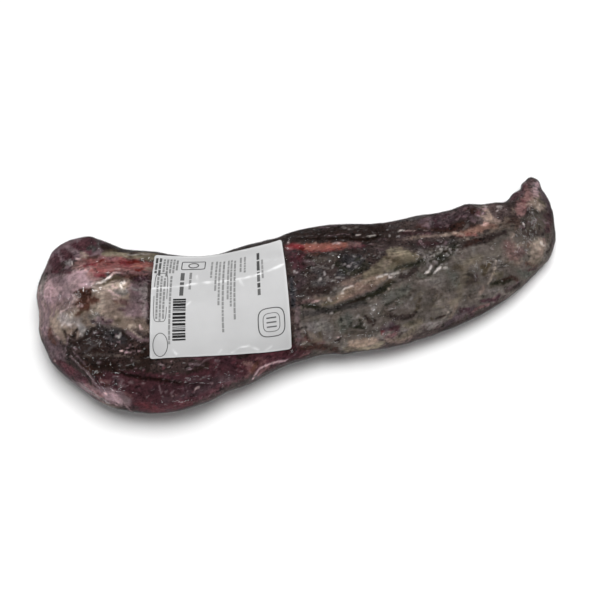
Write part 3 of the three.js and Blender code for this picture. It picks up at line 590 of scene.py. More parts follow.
WET_SPOT_AND_GLINTS = [
    ("green black", 3, 0.9, [(425, 262, 2.5), (433, 256, 4), (441, 256, 5), (450, 250, 5), (456, 246, 4),
     (430, 274, 1.5)]),
    ("grey", 2, 0.8, [(428, 257, 2), (427, 262, 1.8), (430, 268, 1.5), (436, 273, 1.5)]),
    # Painted glints of the film on the wet spot: the white, pale grey and grey dabs below.
    ("white", 1, 1, [(426.3, 271.8, 0.9), (428.5, 271.8, 1), (430, 268.5, 1.1), (430.8, 265.8, 0.8)],
     [(434.6, 273, 0.9), (437, 270.3, 1.1), (440, 267.7, 1.7)]),
    ("white", 1.1, 0.75, [(444, 268, 0.9), (447.5, 268, 0.9)]),
    ("pale grey", 1.1, 0.9, [(441.5, 264.2, 0.8), (447.5, 263.4, 0.7)]),
    ("pale grey", 1.2, 0.9, [(434, 260.5, 1), (436.3, 262.8, 1)]),
    ("pale grey", 1.3, 0.8, [(424.6, 257.8, 0.9), (429, 255.5, 1), (429.5, 259, 1), (428, 262, 1)]),
    ("pale grey", 1, 0.9, [(435, 256.7, 0.9)]),
    ("grey", 1, 0.95, [(444, 253, 0.9), (447, 252.3, 0.8)]),
    ("pale grey", 1, 0.95, [(447.2, 253.5, 0.8), (448.8, 255, 0.8)]),
    ("grey", 0.9, 0.95, [(451, 250.7, 0.6), (454.5, 250.7, 0.7), (457.5, 251, 0.5)]),
    ("grey", 0.9, 0.9, [(452, 253.8, 0.7), (456, 254.3, 0.7)]),
    ("slate", 2, 0.8, [(447, 242, 1.8), (452, 241, 1.8), (457, 241, 1.3)]),
    ("mauve", 1.2, 0.9, [(446.5, 241, 1), (445, 244, 1)]),
]
PINK_STRIP = [
    ("dark tan", 1.8, 0.7, [(404, 239.5, 1), (414, 238, 1.4), (425, 236.5, 1.4), (436, 236, 1.3),
     (444, 235, 1.6)]),
    ("tan", 1.8, 0.9, [(441, 235, 1), (447, 234.5, 1.5), (454, 234, 1.5)]),
    ("faded salmon", 3.5, 0.9, [(456, 234, 2.2), (464, 234, 3.6), (472, 231, 4.2), (481, 228, 4),
     (488, 225, 3), (496, 226, 2.5)]),
    ("dark brown", 2, 0.8, [(450, 229, 1.8), (457, 228.5, 1.8), (464, 226.5, 1.3), (473, 226, 1)]),
    ("grey", 2, 0.6, [(468, 225.5, 1.8), (463, 229, 1)]),
    ("dark tan", 2.5, 0.7, [(487, 219, 2.5), (500, 223, 2.5), (508, 225, 2.5), (492, 230, 2)]),
    ("red", 2, 0.4, [(460, 236.5, 1.3), (470, 233.5, 1.8), (477, 235.5, 1.4)]),
    ("cream", 1.3, 0.7, [(454, 232.5, 1.2), (463, 234.3, 1.1), (466, 238.5, 1.1), (469, 239.5, 0.8)]),
    # Painted glints of the film: the two pink white dabs on the salmon streak.
    ("pink white", 1, 0.5, [(481, 224.5, 0.6), (484, 224.4, 0.7), (487.5, 223.4, 0.7)]),
    ("pink white", 1, 0.3, [(485.7, 225.8, 0.9)]),
    ("soft black", 2.5, 0.9, [(407, 243, 2.2), (416, 244, 2.5), (428, 243, 3), (439, 243, 3)]),
    ("maroon", 2, 0.6, [(418, 243.5, 1.5), (434, 244, 2), (440, 242, 1.5)]),
    ("mauve", 1.3, 0.7, [(420, 241, 1.2), (425, 247, 1.5), (429, 246, 1)]),
    ("soft black", 2.5, 0.95, [(462, 245, 3.5), (470, 243, 3), (481, 241, 3.5), (491, 237, 3.5),
     (499, 234, 2.5), (505, 232, 2)]),
    ("dark brown", 1.8, 0.8, [(468, 241.5, 1.5), (474, 239.5, 1.2), (481, 239.5, 1), (465, 246, 1.5)]),
    ("grey", 1.5, 0.8, [(473.5, 248.5, 1.8), (474, 251, 1)]),
]
TAIL_SKIN = [
    ("dark tan", 4, 0.6, [(505, 243, 4), (512, 246, 5), (510, 258, 5), (518, 262, 4)]),
    ("dusty rose", 4, 0.45, [(508, 244, 5), (514, 255, 6), (521, 251, 5)]),
    ("cream", 1.4, 0.8, [(497, 257, 0.5), (495.5, 267, 0.9), (494, 273, 1.1), (490.5, 280, 1.2),
     (488.5, 283.5, 0.8)]),
    ("dark olive", 2, 0.8, [(482, 266.5, 1.8), (487, 268, 2), (484, 274, 1.8), (491, 262, 1.3)]),
    ("dark silver", 2.2, 0.9, [(470, 274, 2.5), (475, 279, 2.8), (468, 283, 2.2)]),
    ("dark maroon", 2, 0.5, [(476, 274, 1.8), (476, 280, 1.5)]),
    ("dark olive", 2.5, 0.5, [(455, 267, 2), (461, 267, 2.5)]),
    ("tan", 1.8, 0.75, [(484.5, 285, 1.2), (483, 289, 1.5), (481, 293, 1.5)]),
    ("olive", 2.5, 0.6, [(496, 275, 2.5), (502, 273, 2), (491, 288, 1)]),
    ("green black", 2, 0.95, [(492, 284, 1.5), (500, 282.5, 2.8), (507, 281, 3), (512, 279, 1.8)]),
    ("dark brown", 1.8, 0.8, [(503, 280, 1.2), (511, 277, 1.5), (517, 280, 2.2)]),
    ("grey", 2.2, 0.7, [(489, 290, 1.5), (496, 290, 2.5), (501, 290, 2)]),
    ("green black", 2, 0.6, [(484, 296, 2), (487, 297, 1.5)]),
    ("green grey", 2.5, 0.8, [(520, 272, 2.5), (526, 275, 3), (531, 272, 2)]),
    ("blood brown", 2, 0.5, [(527, 263, 1.8), (537, 266, 1.8)]),
    ("tan", 2.2, 0.7, [(517, 245, 2), (522, 244.5, 2)]),
    ("tan", 2, 0.7, [(511, 237.5, 1.6), (514, 234.5, 1.5)]),
    ("tan", 4, 1, [(533, 246, 5), (538, 251, 7.5), (536, 257, 7), (541, 243, 5)]),
    ("cream", 3, 0.6, [(534, 243, 2.2), (541, 241.5, 2.2), (538, 248, 3)]),
    # A painted glint of the film: the white dab below.
    ("white", 1.1, 0.55, [(541.3, 242.5, 0.9), (544.5, 245.5, 1.1)]),
    ("olive tan", 3, 0.6, [(534, 262, 2.5), (540, 261, 2.5)]),
    ("blood brown", 1.5, 0.5, [(529.5, 242, 1), (528, 248, 0.9)]),
    ("rose", 1.8, 0.8, [(545, 239, 1.5), (549, 236.5, 1.5)]),
    ("grey", 2, 0.7, [(546, 250, 1.2), (545, 258, 1.3)]),
]
TAIL_END = [
    ("dark silver", 3, 1, [(524, 220, 5), (534, 220, 8), (544, 218, 8), (533, 231, 6), (545, 229, 6),
     (549, 240, 2)]),
    ("soft black", 2.5, 0.65, [(524, 233, 3), (529, 236, 2), (538, 232, 3.5), (543, 234, 2.5)]),
    ("maroon", 3, 0.7, [(545, 215, 3), (549, 221, 2.5), (548, 230, 3)]),
    ("green black", 1.4, 0.6, [(528, 210, 0.8), (533, 210, 1.1), (537, 213, 1)]),
    # Painted glints of the film: the pale grey dab of the eye, the white dab of the ring and the mauve line
    # at the end's right edge.
    ("pale grey", 1, 1, [(531.5, 212, 0.9), (533, 213.6, 0.8)]),
    ("charcoal", 1.5, 0.9, [(521.5, 222, 1), (526, 222, 1), (526, 226, 1), (522, 229.5, 1.2)]),
    ("white", 1, 0.9, [(523.7, 224.2, 1.2)]),
    ("mauve", 1, 0.9, [(520.5, 226.5, 0.7), (524, 227.5, 0.7)]),
    ("mauve", 1.2, 0.9, [(541.5, 219.5, 0.7), (545, 222.5, 0.8), (548.5, 223, 0.6)]),
    ("mauve", 1.2, 0.7, [(528.5, 222, 0.9), (531, 225, 0.7), (536.5, 219, 0.8)]),
    ("blood brown", 2.5, 0.35, [(513, 219, 3), (518, 222, 2.5), (516, 230, 2)]),
    ("dark brown", 1.4, 0.7, [(507, 221.5, 0.8), (511, 221.5, 0.8)]),
    ("dark tan", 2, 0.8, [(506, 218.5, 1.6), (510, 218, 1.5), (503, 223, 1.2)]),
    ("slate", 3, 1, [(513, 199, 3.5), (517, 195, 4.5), (523, 188, 5), (531, 182, 4.5), (537, 186, 4)]),
    ("purple", 4, 1, [(541, 190, 4), (544, 200, 5), (548, 208, 4)]),
    ("maroon", 4, 0.9, [(525, 186, 3), (517, 195, 3.5), (513, 200, 2.5)]),
    ("dusty rose", 3, 0.4, [(527, 184, 2), (533, 181, 2.5)]),
    ("dusty rose", 5, 0.9, [(528, 190, 3.5), (527, 198, 4.5), (520, 208, 5.5)]),
    ("grey", 2.1, 0.8, [(522.5, 184.5, 1), (526, 182.5, 1), (516, 191.5, 1), (513, 195, 0.8)]),
    ("rose", 4, 0.75, [(527, 191.5, 3), (529, 195, 3.6), (525, 199, 3.6)]),
    ("rose", 4.5, 0.75, [(522.5, 204, 3.6), (519, 209, 4.6), (520.5, 213.5, 3)]),
    ("membrane", 3.5, 0.9, [(535.5, 186, 2.8), (533.5, 190.5, 3.4), (535.5, 195, 2.8)]),
    ("tan", 4, 1, [(529, 203, 3.4), (533, 203, 4.4), (538.5, 207, 4)]),
    ("cream", 2.25, 0.6, [(536, 208, 1.2), (539.5, 207, 1.2)]),
    ("olive", 3, 0.8, [(537, 200, 1.5), (541, 204, 1.8)]),
    ("dark tan", 2.7, 0.9, [(514, 212, 1.6), (513.5, 208, 1.3)]),
    ("dark olive", 1.95, 0.8, [(537.5, 194, 1), (538, 197, 0.9)]),
    ("wine", 2.25, 0.7, [(522, 200.5, 1.2), (525, 202, 1)]),
    ("dark maroon", 2, 0.8, [(546, 204, 2), (548, 211, 2), (548, 216, 2)]),
]
TAIL_FRONT = [
    ("purple", 2.5, 0.9, [(447, 325, 2.5), (457, 318, 3), (466, 311, 3.5), (474, 309, 3)]),
    ("dark maroon", 2, 0.8, [(462, 310, 2.5), (468, 310, 2.2), (472, 315, 1.5)]),
    ("dusty rose", 1.5, 0.8, [(473, 312, 0.9), (478, 308, 0.9), (485, 306, 1), (489, 304.5, 0.7)]),
    ("dusty rose", 1.4, 0.7, [(490, 300.5, 0.7), (494, 298.7, 0.9), (499, 297.5, 0.6)]),
    ("dark maroon", 2, 0.9, [(482, 301.5, 2.2), (489, 299.5, 2), (496, 301, 1.5), (500, 295, 1.5)]),
    ("soft black", 2.2, 0.9, [(507, 291, 2), (513, 288.5, 2), (519, 284.5, 2.2)]),
    ("dark mauve", 1.4, 0.8, [(509, 289, 0.7), (514, 284.5, 0.9), (518, 282.5, 0.8)]),
    ("maroon", 1.6, 0.7, [(529, 270.5, 1), (536, 269, 1.2)]),
    ("soft black", 2, 0.7, [(432, 333, 1.5), (440, 331, 1.5), (452, 326, 1.5), (461, 320.5, 1.5)]),
    ("soft black", 2, 0.9, [(548, 252, 1.5), (551, 246, 1.5), (553, 238, 1.3)]),
    ("mauve", 1, 0.6, [(552.5, 238, 0.6), (552.5, 247, 0.6)]),
]
STROKES = [
    *GROUNDS, *HEAD, *HEAD_STRIPS, *MAUVE_BY_LABEL, *TAN_SKIN, *DARK_ZONE, *LEFT_RIM, *LOOSE_FLAP,
    *LOWER_LOBE, *SIDE_MUSCLE, *RED_STRIP_AND_HOLLOW, *FAT_AND_GROOVE, *SILVER_SKIN, *WET_SPOT_AND_GLINTS, *PINK_STRIP,
    *TAIL_SKIN, *TAIL_END, *TAIL_FRONT,
]
# Zones of small speckles: their finishes, how many there are, and the pixels that they lie round, with how
# far they scatter there. The white and pale grey speckles are painted glints of the film.
SPECKLED = {
    "side muscle": (("charcoal", "dark maroon", "dark mauve", "slate"), 110, [(424, 223, 4), (440, 219, 6),
        (456, 215, 6), (470, 213, 6), (486, 213, 5)]),
    "under the fat": (("green black", "grey", "silver"), 60, [(360, 303, 6), (395, 300, 8), (375, 320, 9),
        (350, 318, 7)]),
    "tail": (("dark silver", "grey", "olive tan"), 90, [(420, 300, 14), (460, 290, 16), (500, 268, 12)]),
    "dark zone of the head": (("charcoal", "mauve", "black"), 60, [(95, 335, 7), (120, 342, 9),
        (140, 350, 7)]),
    "wet dark of the tail": (("white", "pale grey", "grey", "black"), 56, [(427, 257, 4), (440, 250, 6),
        (456, 249, 4)]),
    "back of the hollow": (("pale grey", "slate", "green black"), 34, [(334, 262, 5), (348, 263, 6),
        (362, 259, 4)]),
    "lower lobe": (("wine", "dark maroon", "dark mauve"), 70, [(140, 375, 8), (200, 380, 10),
        (240, 368, 6)]),
}
# Patches of the back and the underside: their finish, size in millimetres, seed and strength.
BACK_PATCHES = (
    ("maroon", 17, 71, 0.8), ("dark silver", 13, 73, 0.8), ("wine", 7, 79, 0.6), ("dark tan", 5, 83, 0.55),
    ("dark maroon", 6, 89, 0.7),
)
# Painted light and shade: where the meat is made paler (or darker, under nought) than its finishes, for the
# light and shade that the bag and its folds give it. Each zone: how softly that ends, its share, and the
# pixels it runs through, with its half width at each.
PAINTED_SHADING = {
    "red strip of the head": (8, 0.18, [(86, 262, 7), (110, 264, 8), (134, 266, 8), (147, 272, 4)]),
    "left rim": (8, 0.2, [(40, 285, 9), (42, 305, 11), (48, 322, 9), (60, 320, 6)]),
    "membrane of the head": (8, 0.17, [(74, 272, 6), (98, 280, 7), (122, 282, 6)]),
    "beside the label": (6, 0.12, [(146, 298, 4), (134, 325, 9), (146, 337, 7)]),
    "flap under the head": (6, 0.3, [(86, 390, 6), (98, 398, 6), (112, 402, 6)]),
    "under the label": (5, 0.4, [(158, 366, 5), (182, 365, 7), (196, 360, 3)]),
    "foot of the lower lobe": (7, 0.25, [(206, 399, 4), (230, 388, 6), (254, 380, 5)]),
    "hollow": (7, 0.2, [(314, 287, 8), (326, 268, 7), (338, 283, 5), (362, 258, 4)]),
    "behind the label": (4, 0.22, [(292, 265, 3), (292, 318, 4)]),
    "tan of the front flank": (5, 0.1, [(340, 340, 5), (356, 345, 6)]),
    "front flank": (6, 0.3, [(370, 347, 5), (386, 342, 7), (410, 336, 7), (434, 328, 5)]),
    "swirls": (8, 0.17, [(446, 305, 7), (470, 318, 4)]),
    "back edge of the main muscle": (5, 0.22, [(378, 249, 4), (405, 250, 5)]),
    "side muscle": (6, 0.32, [(390, 224, 4), (424, 221, 4)]),
    "fat of the side muscle": (5, 0.1, [(461, 231, 5), (482, 228, 5)]),
    "pink line": (4, 0.35, [(402, 239, 2), (446, 236, 2)]),
    "bend before the horn": (6, 0.68, [(484, 215, 6), (494, 212, 7), (502, 211, 4)]),
    "horn": (6, 0.1, [(522, 200, 7), (517, 210, 7)]),
    "top of the head": (7, 0.12, [(60, 262, 7), (76, 244, 5), (90, 250, 5), (122, 250, 5)]),
    "behind the membrane": (5, -0.18, [(72, 260, 5), (82, 262, 4)]),
    "pale blotch": (6, 0.13, [(542, 245, 6)]),
    "dark zone of the head": (6, 0.33, [(122, 360, 5), (134, 350, 5)]),
    "rim of the dark zone": (5, 0.25, [(74, 352, 4)]),
    "blood spot": (5, -0.08, [(86, 291, 4)]),
    "skin of the head": (6, 0.13, [(104, 296, 5), (110, 312, 5)]),
    "black of the head": (8, 0.24, [(94, 346, 9), (116, 348, 9)]),
    "burgundy of the rim": (5, 0.2, [(64, 368, 4), (78, 377, 4)]),
    "notch": (5, 0.16, [(256, 372, 5), (282, 364, 4)]),
    "front of the tail": (6, 0.18, [(484, 300, 5), (508, 294, 4)]),
    "skin of the middle": (9, 0.11, [(466, 257, 8), (494, 255, 7)]),
    "skin of the tail": (6, 0.1, [(512, 246, 7), (518, 258, 6)]),
    "tan of the horn": (5, 0.1, [(530, 203, 3), (538, 205, 3)]),
    "end under the eye": (5, 0.12, [(541, 226, 4), (537, 234, 4)]),
    "tip of the horn": (4, 0.14, [(536, 187, 3), (536, 194, 3)]),
    "right of the horn": (5, 0.04, [(544, 194, 4), (546, 206, 4)]),
    "middle of the head": (5, -0.14, [(86, 322, 5)]),
    "brown patch of the tail": (5, -0.15, [(470, 280, 5)]),
    "front corner of the label": (4, -0.15, [(290, 340, 3), (290, 351, 3)]),
    "dark brown of the rim": (5, -0.18, [(98, 370, 4)]),
}
# Where the outline is lumpy: a pixel, how many pixels it is moved over and up, and how far round that
# reaches.
NUDGES = {
    "left end of the head": (39, 312, 4.5, 0, 14),
    "lower left of the head": (56, 362, -2, 0, 9),
    "under the lower left": (78, 392, 2.5, 0, 12),
    "foot of the head": (170, 412, 0, -3, 24),
    "corner of the head lobe": (45, 252, -1, 3, 7),
    "top of the head lobe": (90, 238, 0, 2, 8),
    "shallow end of the head lobe": (125, 240, 0, -2, 9),
    "behind the fat strip": (155, 247, 0, 1.5, 12),
    "rise behind the label": (289, 232, 0, 3, 12),
    "front edge of the lower lobe": (228, 396, 0, 2.5, 16),
    "behind the red muscle": (305, 224, 0, 1.5, 12),
    "side muscle": (410, 217, 0, 1.5, 20),
    "step of the side muscle": (465, 204, 0, 4, 11),
    "bend of the front edge": (345, 352, 0, -2, 12),
    "shoulder of the horn": (513, 196, -2, 2, 6),
    "hollow above the shoulder": (521, 190, 1.5, -1, 3),
    "middle lump of the horn": (524, 185, -1.5, 1, 4),
    "left of the tip": (530, 181, -1.5, 1.5, 4),
    "right of the tip": (537, 182, 2.5, 1.5, 5),
    "right of the horn": (545, 200, 4, 0, 13),
    "right of the end": (553, 214, 2.4, 0, 9),
}


def relax(shape, verts, times, sideways=True):
    """Smooths points, or their heights alone."""
    for _ in range(times):
        bmesh.ops.smooth_vert(
            shape, verts=verts, factor=0.5, use_axis_x=sideways, use_axis_y=sideways, use_axis_z=True
        )


def vectors_of(rows, key):
    """The points or normals of a mesh, one to a row."""
    values = np.empty(len(rows) * 3, dtype=np.float32)
    rows.foreach_get(key, values)
    return values.reshape(-1, 3).astype(float)


def smooth_step(value, low, high):
    share = np.clip((value - low) / (high - low), 0, 1)
    return share * share * (3 - 2 * share)


def new_mesh(name, shape):
    """The mesh of a shape that is finished with."""
    mesh = bpy.data.meshes.new(name)
    shape.to_mesh(mesh)
    shape.free()
    return mesh


meat_shape = bmesh.new()
meat_shape.from_mesh(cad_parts["packed_tenderloin"].data)
bmesh.ops.remove_doubles(meat_shape, verts=meat_shape.verts, dist=0.01 * MM)
curved = [face for face in meat_shape.faces if max(vert.co.z for vert in face.verts) > FLAT_BELOW]
curved_edges = list({edge for face in curved for edge in face.edges})
bmesh.ops.subdivide_edges(meat_shape, edges=curved_edges, cuts=MEAT_STEPS, use_grid_fill=True)
relax(meat_shape, [vert for vert in meat_shape.verts if vert.co.z > FLAT_BELOW], SMOOTHINGS)
bmesh.ops.recalc_face_normals(meat_shape, faces=meat_shape.faces)
meat_tree = BVHTree.FromBMesh(meat_shape)
meat_mesh = new_mesh("meat", meat_shape)
base_points = vectors_of(meat_mesh.vertices, "co")
base_normals = vectors_of(meat_mesh.vertex_normals, "vector")
base_places = seen_at(base_points) * [[1], [1], [DEPTH_SHARE]]
to_eye = np.array(eye) - base_points
facing = np.einsum("ij,ij->i", base_normals, to_eye / np.linalg.norm(to_eye, axis=1)[:, None])
hidden = smooth_step(-facing, 0, 0.35)
raised = smooth_step(base_points[:, 2] / MM, 1, 5) # nought where the pack rests


def waves(size, seed):
    """Smooth noise of about -1 to 1 at the meat's points, in waves of a size in millimetres."""
    start = Vector((seed, 2 * seed, 3 * seed))
    return np.array([noise.noise(Vector(point) / (size * MM) + start) for point in base_points])


def layered(layers):
    return sum(share * waves(size, seed) for share, size, seed in layers)


def place_of(across, down):
    """A place of the photograph on the meat, in pixels, or on its rim where the sight misses it."""
    hit = meat_tree.ray_cast(eye, sight(across, down))[0]
    if hit is None:
        over_table = sight(across, down) * ((eye.z - RIM_HEIGHT) / -sight(across, down).z)
        hit = meat_tree.find_nearest(eye + over_table)[0]
    return np.array((across, down, seen_at(np.array(hit)[None])[2, 0] * DEPTH_SHARE))


def run_through(stroke):
    """The places that a stroke runs through, each with the half width there."""
    return [(place_of(across, down), half) for across, down, half in stroke]


def stroke_gap(places, run):
    """How far each place is outside a stroke, in pixels, less than nought inside it."""
    gap = np.full(places.shape[1], np.inf)
    for (start, start_half), (end, end_half) in zip(run, run[1:] or run):
        way = end - start
        share = np.clip(way @ (places - start[:, None]) / max(way @ way, 1e-9), 0, 1)
        from_line = np.linalg.norm(places - start[:, None] - way[:, None] * share, axis=0)
        gap = np.minimum(gap, from_line - start_half - (end_half - start_half) * share)
    return gap


def listed_strokes():
    for colour, soft, strength, *strokes in STROKES:
        for stroke in strokes:
            yield colour, soft, strength, stroke


def speckles():
    """Small strokes scattered round the places of each speckled zone."""
    scatter = random.Random(8)
    for choices, count, places in SPECKLED.values():
        for _ in range(count):
            i = scatter.randrange(len(places) - 1)
            share = scatter.random()
            ends = zip(places[i], places[i + 1])
            across, down, spread = (start + share * (end - start) for start, end in ends)
            across += scatter.gauss(0, 0.7) * spread
            down += scatter.gauss(0, 0.6) * spread
            far = (across + scatter.uniform(0, 3), down - scatter.uniform(-0.6, 1.2))
            half = scatter.uniform(0.3, 1)
            stroke = [(across, down, half), (*far, half)]
            yield scatter.choice(choices), SPECKLE_SOFT, scatter.uniform(0.4, 0.9), stroke


def paint():
    """What all the strokes in turn leave on each point: its colour from 0 to 1, its rise and its wetness."""
    places = base_places.copy()
    for size, sway in SWAYS:
        for axis, seed in enumerate(SWAY_SEEDS):
            places[axis] += sway * waves(size, seed)
    fray = layered(FRAY)
    finishes = {colour: np.array(finish, float)[:, None] for colour, finish in FINISHES.items()}
    painted = np.tile(finishes["soft black"], len(base_points))
    for colour, soft, strength, stroke in [*listed_strokes(), *speckles()]:
        soft *= SOFTER
        run = run_through(stroke)
        reach = max(half for _, half in run) + 1.5 * soft
        low = np.min([spot for spot, _ in run], axis=0) - reach
        high = np.max([spot for spot, _ in run], axis=0) + reach
        near = np.flatnonzero(np.all((places > low[:, None]) & (places < high[:, None]), axis=0))
        gap = stroke_gap(places[:, near], run) + RAGGED * soft * fray[near]
        cover = strength * smooth_step(-gap / soft, -0.5, 0.5)
        painted[:, near] += cover * (finishes[colour] - painted[:, near])
    for colour, size, seed, strength in BACK_PATCHES:
        cover = strength * hidden * smooth_step(waves(size, seed), *PATCH_EDGE)
        painted += cover * (finishes[colour] - painted)
    return painted[:3].T / 255, painted[3], painted[4]


def zone_shares(zones):
    """Each zone's strength on each point of the meat."""
    fray = waves(*ZONE_WAVES)
    for soft, strength, zone in zones.values():
        gap = stroke_gap(base_places, run_through(zone)) + RAGGED * soft * fray
        yield strength * smooth_step(-gap / soft, -1, 0)


def linear(colour):
    """A screen colour, from 0 to 1, as light."""
    return np.where(colour < 0.04045, colour / 12.92, ((colour + 0.055) / 1.055) ** 2.4)


def from_direction(azimuth, elevation):
    """The unit vector towards a direction, in degrees round from the front edge and up from the table."""
    turn, rise = math.radians(azimuth), math.radians(elevation)
    return Vector((math.sin(turn) * math.cos(rise), -math.cos(turn) * math.cos(rise), math.sin(rise)))


KEY_FROM = from_direction(135, 82)
FILL_FROM = from_direction(-10, 32)
KEY_SHARE, FILL_SHARE, ROOM_SHARE = 1.1, 0.05, 0.2 # of a white that is just reached, on a level surface
BOUNCE_SHARE = 1.25
HAZE = np.array((0.01, 0.0112, 0.0135)) # light that the film itself sends to the eye
FILM_PASSES = 0.93
DARKEST = 0.002 # no point of the meat is darker


def light_on(normals):
    """How much light falls on a surface that faces this way, where 1 makes white paper white."""
    up = 0.5 + 0.5 * normals[:, 2]
    light = ROOM_SHARE * up + BOUNCE_SHARE * (1 - up)
    for direction, share in ((KEY_FROM, KEY_SHARE), (FILL_FROM, FILL_SHARE)):
        light += share / direction.z * np.clip(normals @ np.array(direction), 0, 1)
    return FILM_PASSES * light


def move_points(mesh, points):
    mesh.vertices.foreach_set("co", points.astype(np.float32).ravel())
    mesh.update()


def keep(mesh, name, values):
    """Values that the mesh keeps for its material, one to a point."""
    mesh.attributes.new(name, "FLOAT", "POINT").data.foreach_set("value", np.asarray(values, np.float32))


def new_piece(name, mesh):
    piece = bpy.data.objects.new(name, mesh)
    bpy.context.scene.collection.objects.link(piece)
    mesh.shade_smooth()
    return piece


colours, rises, wet = paint()
# Painted light and shade, zone by zone.
for share in zone_shares(PAINTED_SHADING):
    colours *= 1 + share[:, None]
meat_points = base_points + base_normals * ((layered(RELIEF) + rises) * raised * MM - DRAWN_IN)[:, None]
for across, down, over, up, reach in NUDGES.values():
    from_middle = (base_places[0] - across) ** 2 + (base_places[1] - down) ** 2
    pull = np.exp(-from_middle / reach ** 2) * raised * PIXEL_SIZE
    meat_points += pull[:, None] * (over * np.array(view_right) + up * np.array(view_up))
meat_points[:, 2] = np.maximum(meat_points[:, 2], OVER_TABLE)
move_points(meat_mesh, meat_points)
tint = 1 + np.column_stack([share * waves(size, seed) for share, size, seed in HUES])
brightness = (1 + layered(FLECKS)) / light_on(base_normals)
lit = np.maximum(linear(colours) - HAZE, DARKEST) * tint * brightness[:, None]
coat = meat_mesh.color_attributes.new("colour", "FLOAT_COLOR", "POINT")
coat.data.foreach_set("color", np.column_stack([lit, np.ones(len(lit))]).astype(np.float32).ravel())
keep(meat_mesh, "wet", wet)
meat = new_piece("meat", meat_mesh)


class Shader:
    """The nodes of a material or of the room, added and joined one by one."""

    def __init__(self, name, owners=bpy.data.materials, output="OutputMaterial"):
        self.owner = owners.new(name)
        self.owner.use_nodes = True
        self.tree = self.owner.node_tree
        self.tree.nodes.clear()
        self.output = self.add(output)

    def add(self, kind, inputs=(), **settings):
        node = self.tree.nodes.new("ShaderNode" + kind)
        for key, value in settings.items():
            setattr(node, key, value)
        for socket, value in dict(inputs).items():
            if isinstance(value, bpy.types.NodeSocket):
                self.tree.links.new(value, node.inputs[socket])
            else:
                node.inputs[socket].default_value = value
        return node

    def kept(self, name, output="Fac"):
        """Values that the mesh keeps."""
        return self.add("Attribute", attribute_name=name).outputs[output]

    def place(self):
        return self.add("TexCoord").outputs["Object"]

    def noise(self, scale, detail=2, stretch=(1, 1, 1)):
        place = self.add("Mapping", {"Vector": self.place(), "Scale": stretch}).outputs["Vector"]
        return self.add("TexNoise", {"Vector": place, "Scale": scale, "Detail": detail}).outputs["Fac"]

    def spread(self, value, low, high, start=0.3, end=0.7):
        """A value brought from the range of start to end to another one."""
        ends = {"Value": value, "From Min": start, "From Max": end, "To Min": low, "To Max": high}
        return self.add("MapRange", ends).outputs["Result"]

    def math(self, operation, *values):
        return self.add("Math", enumerate(values), operation=operation).outputs[0]

    def vectors(self, operation, *values):
        return self.add("VectorMath", enumerate(values), operation=operation).outputs[0]

    def scaled(self, colour, factor):
        return self.add("VectorMath", {0: colour, "Scale": factor}, operation="SCALE").outputs[0]

    def bump(self, height, distance, strength):
        inputs = {"Height": height, "Distance": distance, "Strength": strength}
        return self.add("Bump", inputs).outputs["Normal"]

    def finish(self, surface):
        self.tree.links.new(surface.outputs[0], self.output.inputs["Surface"])
        return self.owner


def dress(piece, material):
    piece.data.materials.clear()
    piece.data.materials.append(material)


flesh = Shader("moist meat")
wetness = flesh.kept("wet")
patchy = flesh.spread(flesh.noise(75, 2), 0.5, 1.7)
blotches = flesh.spread(flesh.noise(300, 3), -0.3, 0.3)
fibres = flesh.spread(flesh.noise(520, 2, (0.2, 1, 1)), -0.16, 0.16)
pits = flesh.math("MULTIPLY", flesh.spread(flesh.noise(560, 2), 0, -0.5, 0.5, 0.38), wetness)
grain = flesh.math("MULTIPLY", flesh.math("ADD", flesh.math("ADD", blotches, fibres), pits), patchy)
grainy = flesh.scaled(flesh.kept("colour", "Color"), flesh.math("ADD", grain, 1))
# Painted glints: pale flecks added to the meat's colour where it is wet.
painted_glints = flesh.spread(flesh.noise(430, 3, (0.6, 1, 1)), 0, 0.1, 0.62, 0.72)
dress(meat, flesh.finish(flesh.add("BsdfPrincipled", {
    "Base Color": flesh.vectors("ADD", grainy, flesh.math("MULTIPLY", painted_glints, wetness)),
    "Roughness": flesh.spread(flesh.noise(150), 0.35, 0.6),
    "Specular IOR Level": 0.02,
    "Normal": flesh.bump(flesh.noise(500, 3), 0.5 * MM, 0.6),
})))
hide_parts("packed_tenderloin")
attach(meat, "root")


# The bag: one sheet of clear shrink film that clings to the meat, creased all over where it shrank.
# It follows the meat's relief, stands a little clear of it, and rises in folds and pleats of its own.
FILM_GAP = 0.35 # millimetres clear of the meat, before it wrinkles
LEAST_GAP = 0.15
FILM_OVER_TABLE = 0.05 * MM
CREASES = ((0.3, 9, 5), (0.25, 5, 6)) # height and size in millimetres, and seed
RIPPLE = (0.25, 2.6, 7) # the same for the soft waves between the creases
CALM = 0.25 # how much of all this is left where the film isn't crumpled
# Where the film is crumpled most: how softly that ends, how strong it is, and the pixels it runs through.
CRUMPLED = {
    "all over": (1, 0.06, [(300, 300, 400)]),
    "hollow by the label": (14, 1, [(305, 268, 14), (330, 262, 13), (352, 257, 9)]),
    "under the hollow": (10, 0.7, [(300, 290, 8), (320, 284, 8)]),
    "dark patch below the pink line": (8, 1, [(422, 249, 7), (440, 246, 8), (455, 249, 6)]),
    "under the fat": (10, 0.8, [(330, 306, 6), (365, 298, 7), (400, 282, 7), (418, 270, 6)]),
    "swirls": (12, 0.8, [(352, 318, 8), (372, 312, 8), (395, 305, 8)]),
    "by the label's front corner": (10, 0.5, [(300, 325, 8), (315, 330, 8)]),
    "side muscle": (8, 0.25, [(330, 232, 6), (365, 234, 6), (400, 232, 6), (430, 230, 6)]),
    "foot of the horn": (10, 0.08, [(505, 232, 7), (525, 226, 7), (540, 226, 6)]),
    "dark zone of the head": (12, 0.22, [(92, 335, 8), (118, 336, 9), (140, 348, 8)]),
    "lower lobe": (12, 0.15, [(130, 360, 9), (175, 368, 9), (220, 364, 9)]),
}
